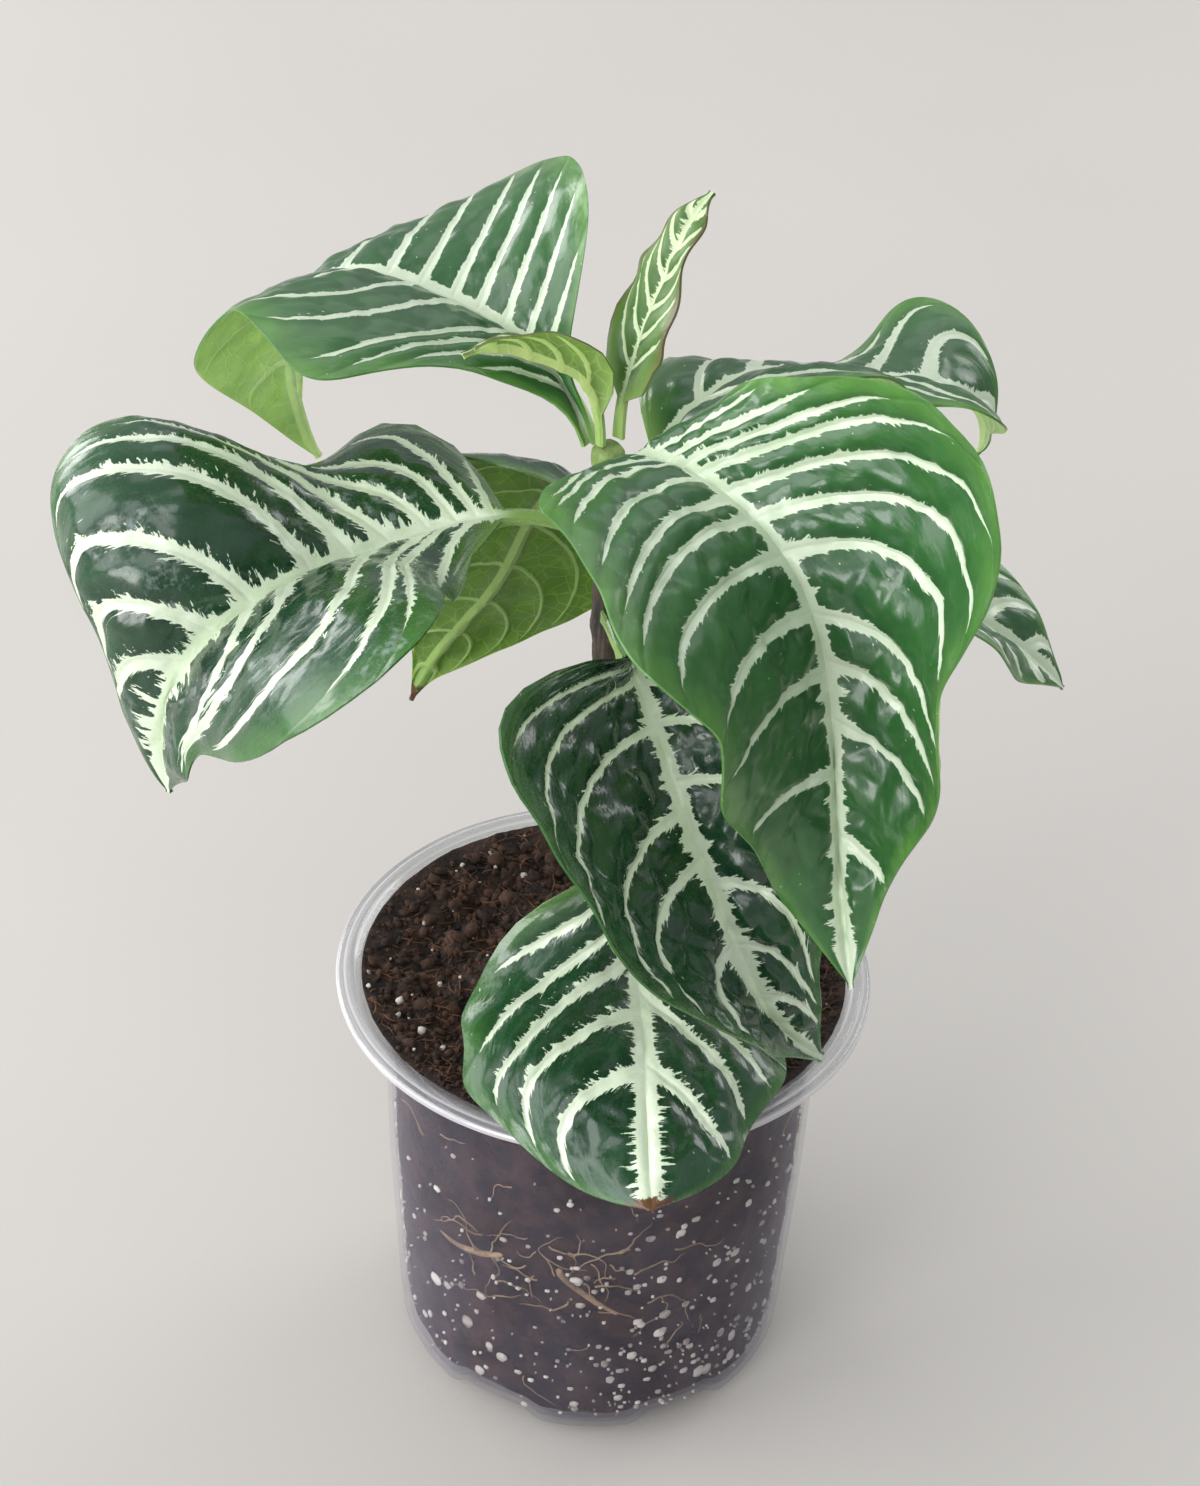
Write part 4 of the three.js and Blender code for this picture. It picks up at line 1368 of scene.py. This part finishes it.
@dataclass
class PottingMix:
    """The dark fibrous mix: its body, loose crumbs, fibres and perlite."""

    pot: NurseryPot
    level: float = 102.2
    edge: tuple[float, float] = (54.3, 105.1)
    gap: float = 0.45
    segments: int = 300
    scatter: tuple[float, float] = (4.2, 53.4)
    fibre_reach: float = 54.2
    crumbs: int = 3800
    fibres: int = 1100
    grains_on_top: int = 130
    grains_at_wall: int = 760
    front_share: float = 0.3
    front_turn: tuple[float, float] = (-62.0, 26.0)

    def inside(self, z: Array) -> Array:
        """Measures the pot's inner face.

        Args:
            z: Heights in millimetres.

        Returns:
            Its radius at each height.
        """
        p = self.pot
        return np.interp(
            z,
            [2.0, 4.5, 7.2, 11, 56, 94, 100.6, 102.6, 103.8, 104.6],
            [38.5, 42.2, 43.6, p.low - p.wall, p.mid - p.wall, p.ledge - p.wall,
             p.neck - p.wall, 50.2, 51.6, 54.4],
        )

    def relief(self, x: Array, y: Array) -> Array:
        """The mix's broad lumps, and its rise towards the flare.

        Args:
            x: Places across.
            y: Places from front to back.

        Returns:
            Height over the level at each place.
        """
        r = np.hypot(x, y)
        broad = (
            1.1 * np.sin(0.21 * x + 1.3) * np.cos(0.17 * y - 0.4)
            + 0.7 * np.sin(0.43 * x - 0.31 * y)
            + 0.6 * np.cos(0.52 * y + 0.36 * x + 2)
        )
        rise = np.interp(r, [39, 46.5, self.edge[0]], [0, 1.2, self.edge[1] - self.level])
        return broad * smooth(3, 8, r) * (1 - 0.9 * smooth(40, 46.5, r)) + rise

    def top(self, x: Array, y: Array) -> Array:
        """The mix's surface, with its finer lumps.

        Args:
            x: Places across.
            y: Places from front to back.

        Returns:
            Its height at each place.
        """
        flat = np.stack([x, y, 0 * x], -1)
        fine = lumps(flat, 3.4, 5) * 0.75 + lumps(flat, 1.5, 6) * 0.45
        return self.level + self.relief(x, y) + fine * (1 - 0.6 * smooth(48, 52, np.hypot(x, y)))

    def body(self) -> Shape:
        """The filled mass, uneven on top and rough against the wall.

        Returns:
            The closed mass.
        """
        heights = np.linspace(self.edge[1] - 0.5, 3.4, 124)
        side = np.stack([self.inside(heights) - self.gap, heights], -1)
        side[-6:, 0] -= np.linspace(0, 5.0, 6)
        radii = np.linspace(0, self.edge[0] - 0.1, 80)
        cap = np.stack([radii, np.full_like(radii, self.level)], -1)
        floor = np.array([(34, 2.6), (20, 2.2), (0, 2.2)], float)
        shape = turned(np.concatenate([cap, side, floor])[::-1], self.segments)
        p = shape.points
        r = np.hypot(p[:, 0], p[:, 1])
        on_top = np.arange(len(p)) >= len(p) - self.segments * len(radii)
        p[on_top, 2] = self.top(p[on_top, 0], p[on_top, 1])
        dent = (lumps(p, 5.5, 8) + 0.4 * lumps(p, 3.0, 9)) * 0.5 - 0.45
        dent = np.where(on_top, 0, dent) * smooth(30, 40, r) / r
        shape.points = self.pot.raised(p * np.stack([1 + dent, 1 + dent, 1 + 0 * r], -1))
        return shape

    def finish(self, name: str, dark: Colour, light: Colour) -> bpy.types.Material:
        """Damp peat and bark, from dark to light brown.

        Args:
            name: The material's name.
            dark: Colour of the wet parts.
            light: Colour of the fibrous ones.

        Returns:
            The material.
        """
        b = Paint.named(name)
        broad, fine, grain = b.mottle(6.5, 1.1, 11.0)
        share = broad * 0.5 + fine * 0.5 + b.number("tone") * 0.5 - 0.25
        return b.dressed(
            Base_Color=b.blend(share, dark, light),
            Roughness=0.72 + fine * 0.2,
            Normal=b.bump(grain + broad * 0.5, 0.9, 0.0007),
            Specular_IOR_Level=0.35,
        )

    def perlite_finish(self) -> bpy.types.Material:
        """Chalky white perlite, pitted and a little stained.

        Returns:
            The material.
        """
        b = Paint.named("perlite")
        broad, fine, grain = b.mottle(2.0, 0.4, 7.0)
        stain = b.number("tone") * (0.55 + broad * 0.45)
        return b.dressed(
            Base_Color=b.blend(stain, srgb(226, 222, 214), srgb(112, 96, 86)),
            Roughness=0.7 + fine * 0.2,
            Normal=b.bump(grain, 0.8, 0.0004),
        )

    def top_places(self, rng: np.random.Generator, count: int, lift: float) -> Array:
        """Random places on the mix's surface, clear of the stem.

        Args:
            rng: Where the chance comes from.
            count: How many.
            lift: Height over the surface.

        Returns:
            The places.
        """
        near, far = self.scatter
        r = np.sqrt(rng.uniform(near**2, far**2, count))
        places = polar(r, rng.uniform(0, 2 * np.pi, count), 0)
        places[:, 2] = self.top(places[:, 0], places[:, 1]) + lift
        return places

    def crumb_shape(self) -> Shape:
        """Loose crumbs over the top.

        Returns:
            The crumbs as one mesh.
        """
        rng = np.random.default_rng(21)
        size = rng.gamma(2.2, 0.62, self.crumbs)[:, None].clip(0.5, 4.6)
        scales = size * rng.uniform(0.6, 1.3, (self.crumbs, 3))
        places = self.top_places(rng, self.crumbs, 0.1)
        scales *= np.where(np.hypot(places[:, 0], places[:, 1]) > 51, 0.55, 1)[:, None]
        turns = random_turns(rng, self.crumbs)
        return scattered(pebble(0.45, 2, False), places, scales, turns, rng.random(self.crumbs))

    def fibre_shape(self) -> Shape:
        """Fine brown fibres that lie over and stick out of the crumbs.

        Returns:
            The fibres as one mesh.
        """
        rng = np.random.default_rng(22)
        threads = []
        for start in self.top_places(rng, self.fibres, 0.5):
            length, turn = rng.uniform(2.5, 9.0), rng.uniform(0, 2 * np.pi)
            bend, rise = rng.uniform(-0.5, 0.5), rng.uniform(-0.25, 0.5)
            step = np.linspace(0, 1, 5)
            line = np.cumsum(polar(1, turn + bend * step * 3, rise * (1 - 1.6 * step)), 0)
            line = start + (line - line[2]) * length / 5
            if np.hypot(line[:, 0], line[:, 1]).max() > self.fibre_reach:
                continue
            thread = tube(line, np.array([0.05, 0.14, 0.16, 0.13, 0.04]) * rng.uniform(0.7, 1.7), 3)
            thread.marks = {"tone": np.full(len(thread.points), rng.uniform(0.4, 1.6))}
            threads.append(thread)
        return joined(threads)

    def perlite_shape(self, at_wall: bool) -> Shape:
        """Perlite grains, on top or pressed against the wall.

        Args:
            at_wall: Which of the two places.

        Returns:
            The grains as one mesh.
        """
        rng = np.random.default_rng(24 if at_wall else 23)
        count = self.grains_at_wall if at_wall else self.grains_on_top
        size = (0.35 + rng.gamma(1.1, 0.5, count))[:, None].clip(0.4, 3.0)
        if at_wall:
            z = 6 + 84 * rng.beta(1.0, 1.7, count)
            turn = rng.uniform(0, 2 * np.pi, count)
            front = rng.random(count) < self.front_share
            turn = np.where(front, np.radians(rng.normal(*self.front_turn, count)), turn)
            places = polar(self.inside(z) - self.gap - 0.15, turn, z)
            out, level = polar(1, turn, 0), polar(1, turn + np.pi / 2, 0)
            turns = np.stack([out, level, np.cross(out, level)], -1)
            scales = size * rng.uniform(0.75, 1.3, (count, 3))
            scales[:, 0] = 0.8
        else:
            places = self.top_places(rng, count, 0.35)
            turns = random_turns(rng, count)
            scales = size * rng.uniform(0.75, 1.25, (count, 3))
        return scattered(pebble(0.5, 4, True), places, scales, turns, rng.random(count))

    def build(self) -> list[bpy.types.Object]:
        """Makes the mix and what lies in it.

        Returns:
            The pieces, the body first.
        """
        peat = self.finish("damp_peat", srgb(18, 12, 11), srgb(84, 60, 50))
        crumb = self.finish("peat_crumbs", srgb(22, 14, 12), srgb(84, 58, 45))
        fibre = self.finish("coir_fibres", srgb(40, 25, 19), srgb(112, 80, 60))
        white = self.perlite_finish()
        kinds = (
            ("mix_body", self.body(), peat, "soil"),
            ("mix_crumbs", self.crumb_shape(), crumb, None),
            ("mix_fibres", self.fibre_shape(), fibre, None),
            ("perlite_on_top", self.perlite_shape(False), white, None),
            ("perlite_at_wall", self.perlite_shape(True), white, None),
        )
        return [
            laid_over(shape.shown(name, [paint]), node)
            for name, shape, paint, node in kinds
        ]


# -------------------------------------------------------------- stem and roots
@dataclass
class Stem:
    """The upright stem, dark and barky below, green at its top."""

    foot: float = 80.0
    top: float = 242.2
    radius: float = 2.9
    lean: float = 3.8
    lean_from: float = 98.0
    lean_rise: float = 142.0
    swell: float = 0.55
    nodes: tuple[float, ...] = (149, 198.5, 220, 239)
    green_from: float = 222.0
    rings: int = 330
    sides: int = 40

    def shape(self) -> Shape:
        """The stem, ridged, swollen at each pair of leaves and scarred below it.

        Returns:
            The closed stem.
        """
        z = np.linspace(self.foot, self.top, self.rings)
        share = np.clip((z - self.lean_from) / self.lean_rise, 0, 1)
        centres = np.stack([-self.lean * share, 0 * z, z], -1)
        bulge = sum(np.exp(-(((z - n) / 2.6) ** 2)) for n in self.nodes)
        scar = sum(np.exp(-(((z - n + 4.6) / 0.5) ** 2)) for n in self.nodes)
        radii = self.radius + np.where(z > self.lean_from, self.swell * bulge - 0.16 * scar, 0)
        radii[-3:] *= np.array([0.95, 0.85, 0.7])
        shape = tube(centres, radii, self.sides)
        p = shape.points
        centre = np.repeat(centres, self.sides, 0)
        out = unit(p - centre)
        turn = np.arctan2(out[:, 1], out[:, 0])
        bark = 1 - smooth(self.green_from, self.green_from + 12, p[:, 2])
        ridge = 0.07 * np.cos(4 * turn + 0.4) + 0.05 * np.cos(9 * turn + 0.05 * p[:, 2])
        rough = 0.16 * lumps(p * [1, 1, 0.3], 1.3, 31) + 0.09 * lumps(p, 0.8, 32)
        shape.points = p + out * (ridge + rough * (0.25 + 0.75 * bark))[:, None]
        return shape

    def finish(self) -> bpy.types.Material:
        """Dark bark with lengthwise cracks, turning green towards the top.

        Returns:
            The material.
        """
        b = Paint.named("stem_bark")
        x, y, z = b.parts(b.place())
        broad, fine, grain = b.mottle(5.0, 0.7, 5.0)
        streak = b.noise(b.join(x * 1400.0, y * 1400.0, z * 160.0), 1.0, 3.0, 0.6)
        cracks = streak.step(0.35, 0.7) * 0.6 + broad * 0.3
        bark = b.blend(cracks, srgb(30, 24, 24), srgb(92, 78, 66))
        green = b.blend(broad * 0.5 + fine * 0.3, srgb(92, 118, 58), srgb(146, 170, 98))
        rise = (z + (grain - 0.5) * 0.012).step(self.green_from * MM, (self.green_from + 14) * MM)
        return b.dressed(
            Base_Color=b.blend(rise, bark, green),
            Roughness=0.62 - rise * 0.2 + fine * 0.1,
            Normal=b.bump(streak + grain * 0.5, 0.6, 0.0004),
        )

    def build(self) -> bpy.types.Object:
        """Makes the stem and returns it."""
        return laid_over(self.shape().shown("stem_bark", [self.finish()]), "stem")


# Each main root's course, and its radius at both ends.
ROOT_PATHS = (
    (((0, 0, 76), (-3, -12, 72), (-13, -34, 60), (-20.7, -40.8, 55), (-30.1, -34.1, 51),
      (-38.2, -24.7, 52)), (1.3, 0.6)),
    (((0, 0, 72), (3, -14, 69), (0, -34, 60), (-7.1, -45.2, 55), (-1, -45.4, 48),
      (6, -44.6, 42)), (1.4, 0.6)),
    (((0, 0, 74), (12, 4, 71), (26, 8, 60), (33, 10, 44)), (1.3, 0.6)),
    (((0, 0, 73), (8, 14, 67), (10, 28, 50), (2, 36, 34)), (1.3, 0.6)),
    (((0, 0, 70), (-12, 6, 67), (-26, 14, 56), (-34, 14, 40)), (1.2, 0.6)),
    (((0, 0, 66), (2, -2, 58), (8, -6, 40), (6, -14, 22)), (1.4, 0.7)),
)  # fmt: skip


@dataclass
class Roots:
    """The tan roots in the mix, with fine ones that show at the wall."""

    mix: PottingMix
    crown: tuple[float, float] = (79.6, 58.0)
    wall_clear: float = 1.0
    wall_threads: int = 60
    front_threads: int = 32
    thread_points: int = 14
    front_turn: tuple[float, float] = (-98.0, 17.0)
    front_height: tuple[float, float] = (52.0, 9.0)
    thread_heights: tuple[float, float] = (14.0, 84.0)

    def held_in(self, line: Array, clear: float) -> Array:
        """Brings a line inside the wall.

        Args:
            line: Its points.
            clear: Distance to keep from the inner face.

        Returns:
            The line, with its outer points drawn in.
        """
        r = np.hypot(line[:, 0], line[:, 1])
        share = np.minimum(1, (self.mix.inside(line[:, 2]) - clear) / np.maximum(r, 1e-6))
        return line * np.stack([share, share, 1 + 0 * share], -1)

    def threads(self) -> list[Shape]:
        """The fine roots that run on the wall's inside.

        Returns:
            One tube for each root.
        """
        rng = np.random.default_rng(41)
        made = []
        for k in range(self.wall_threads):
            front = k < self.front_threads
            turn = rng.normal(*self.front_turn) if front else rng.uniform(0, 360)
            z = rng.normal(*self.front_height) if front else rng.uniform(*self.thread_heights)
            heading, length = rng.uniform(-1.2, 1.2), rng.uniform(6, 20)
            count = self.thread_points
            sway = heading + np.cumsum(rng.normal(0, 0.34, count))
            d_turn = np.cumsum(np.cos(sway)) / count * np.degrees(length / 47)
            d_z = np.cumsum(np.sin(sway)) / count * length
            angle = np.radians(turn + d_turn * rng.choice([-1, 1]))
            height = np.clip(z + d_z, 8, 90)
            line = polar(self.mix.inside(height) - self.mix.gap - 0.12, angle, height)
            made.append(tube(line, np.linspace(rng.uniform(0.14, 0.3), 0.07, count), 5))
        return made

    def shape(self) -> Shape:
        """The crown, the six main roots and the fine ones as one mesh.

        Returns:
            The roots.
        """
        crown = np.linspace([0, 0, self.crown[1]], [0, 0, self.crown[0]], 12)
        shapes = [tube(crown, np.linspace(1.5, 2.5, 12), 12)]
        for path, (thick, thin) in ROOT_PATHS:
            line = self.held_in(rounded(path, 1.2), self.wall_clear)
            radii = np.linspace(thick, thin, len(line)) * (1 + 0.14 * lumps(line, 2.2, 3))
            shapes.append(tube(line, radii, 10))
        return joined(shapes + self.threads())

    def finish(self) -> bpy.types.Material:
        """Tan root skin with darker, soil-stained stretches.

        Returns:
            The material.
        """
        b = Paint.named("root_skin")
        broad, fine, grain = b.mottle(6.0, 0.8, 9.0)
        share = broad * 0.6 + fine * 0.3
        return b.dressed(
            Base_Color=b.blend(share, srgb(104, 84, 62), srgb(184, 158, 122)),
            Roughness=0.6 + fine * 0.2,
            Normal=b.bump(grain, 0.6, 0.0003),
        )

    def build(self) -> bpy.types.Object:
        """Makes the roots and returns them."""
        return laid_over(self.shape().shown("root_strands", [self.finish()]), "roots")


# ---------------------------------------------------------------------- studio
@dataclass(frozen=True)
class SoftBox:
    """One soft lamp, aimed at the plant."""

    name: str
    place: tuple[float, float, float]
    width: float
    height: float
    power: float


@dataclass
class Studio:
    """Floor, lamps and the camera at the photograph's viewing angle."""

    camera_place: tuple[float, float, float] = (-2.97, -613.26, 618.07)
    pitch_down: float = 36.3
    roll: float = 2.4
    focal_length: float = 86.245
    sensor_width: float = 36.0
    clip: tuple[float, float] = (0.05, 30.0)
    aim: tuple[float, float, float] = (0.0, 0.0, 0.15)
    floor_half: float = 4000.0
    sky_colour: Colour = (0.94, 0.96, 1.0)
    sky_strength: tuple[float, float] = (0.34, 0.3)
    lamps: tuple[SoftBox, ...] = (
        SoftBox("lamp_left_wide", (-1.7, -0.2, 1.0), 1.7, 1.5, 24.0),
        SoftBox("lamp_front_left", (-0.98, -1.25, 0.42), 0.6, 0.8, 13.0),
        SoftBox("lamp_back_left", (-1.15, 0.97, 0.45), 0.9, 0.6, 9.0),
        SoftBox("lamp_front_top", (-0.3, -1.3, 1.6), 1.0, 1.0, 8.0),
        SoftBox("lamp_back_top", (0.1, 0.95, 1.45), 1.2, 0.9, 3.0),
        SoftBox("lamp_right_back", (1.0, 0.85, 0.75), 0.7, 0.7, 5.0),
    )

    def camera(self) -> None:
        """Makes the camera and sets it as the scene's."""
        data = bpy.data.cameras.new("photo_camera")
        data.lens, data.sensor_width = self.focal_length, self.sensor_width
        data.clip_start, data.clip_end = self.clip
        camera = linked("photo_camera", data)
        down, roll = math.radians(self.pitch_down), math.radians(self.roll)
        forward = Vector((0, math.cos(down), -math.sin(down)))
        level, lift = Vector((1, 0, 0)), Vector((0, math.sin(down), math.cos(down)))
        right = math.cos(roll) * level + math.sin(roll) * lift
        up = math.cos(roll) * lift - math.sin(roll) * level
        turn = Matrix((right, up, -forward)).transposed().to_4x4()
        camera.matrix_world = Matrix.Translation(Vector(self.camera_place) * MM) @ turn
        bpy.context.scene.camera = camera

    def floor(self) -> None:
        """A wide pale floor with a fine matt grain."""
        line = np.linspace(-self.floor_half, self.floor_half, 9)
        x, y = np.meshgrid(line, line, indexing="xy")
        points = np.stack([x, y, 0 * x], -1).reshape(-1, 3)
        b = Paint.named("pale_floor")
        cloud, grain = b.noise(b.place(), 5.0, 2.0), b.noise(b.place(), 900.0, 2.0)
        paint = b.dressed(
            Base_Color=b.blend(cloud, srgb(190, 186, 181), srgb(197, 193, 188)),
            Roughness=0.6 + grain * 0.1,
            Normal=b.bump(grain, 0.1, 0.0003),
        )
        Shape(points, grid_faces(*x.shape)).shown("floor", [paint])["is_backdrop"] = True

    def light(self) -> None:
        """Hangs the lamps and sets the soft surrounding light."""
        for lamp in self.lamps:
            data = bpy.data.lights.new(lamp.name, "AREA")
            data.shape, data.energy = "RECTANGLE", lamp.power
            data.size, data.size_y = lamp.width, lamp.height
            made = linked(lamp.name, data)
            made.location = lamp.place
            aim = Vector(self.aim) - made.location
            made.rotation_euler = aim.to_track_quat("-Z", "Y").to_euler()
        world = bpy.data.worlds.new("soft_room")
        world.use_nodes = True
        b = Bench(world.node_tree)
        height = b.parts(b.node("TexCoord").outputs["Generated"])[2]
        low, rise = self.sky_strength
        strength = low + rise * height.step(-0.1, 0.9)
        background = world.node_tree.nodes["Background"]
        feed(background, {"Color": self.sky_colour, "Strength": strength})
        bpy.context.scene.world = world
        bpy.context.scene.view_settings.view_transform = "Standard"


def corners(box: Iterable[Vector]) -> list[list[float]]:
    """A box's two corners as plain lists."""
    return [[float(c) for c in corner] for corner in box]


def main() -> None:
    """Builds the plant over its frame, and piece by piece."""
    logging.basicConfig(level=logging.INFO, format="%(message)s")
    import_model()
    cad_box = corners(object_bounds())
    studio = Studio()
    studio.camera()
    zebra_group()
    mottle_group()
    pot = NurseryPot()
    mix = PottingMix(pot)
    pieces = [pot.build(), *mix.build(), Stem().build(), Roots(mix).build()]
    pieces += [Leaf(form, k * SEED_STEP + 1).build() for k, form in enumerate(LEAVES)]
    studio.floor()
    studio.light()
    for piece in pieces:
        LOG.info("%s: %d faces", piece.name, len(piece.data.polygons))
    {"cad": cad_box, "visual": corners(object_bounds())}


if __name__ == "__main__":
    main()
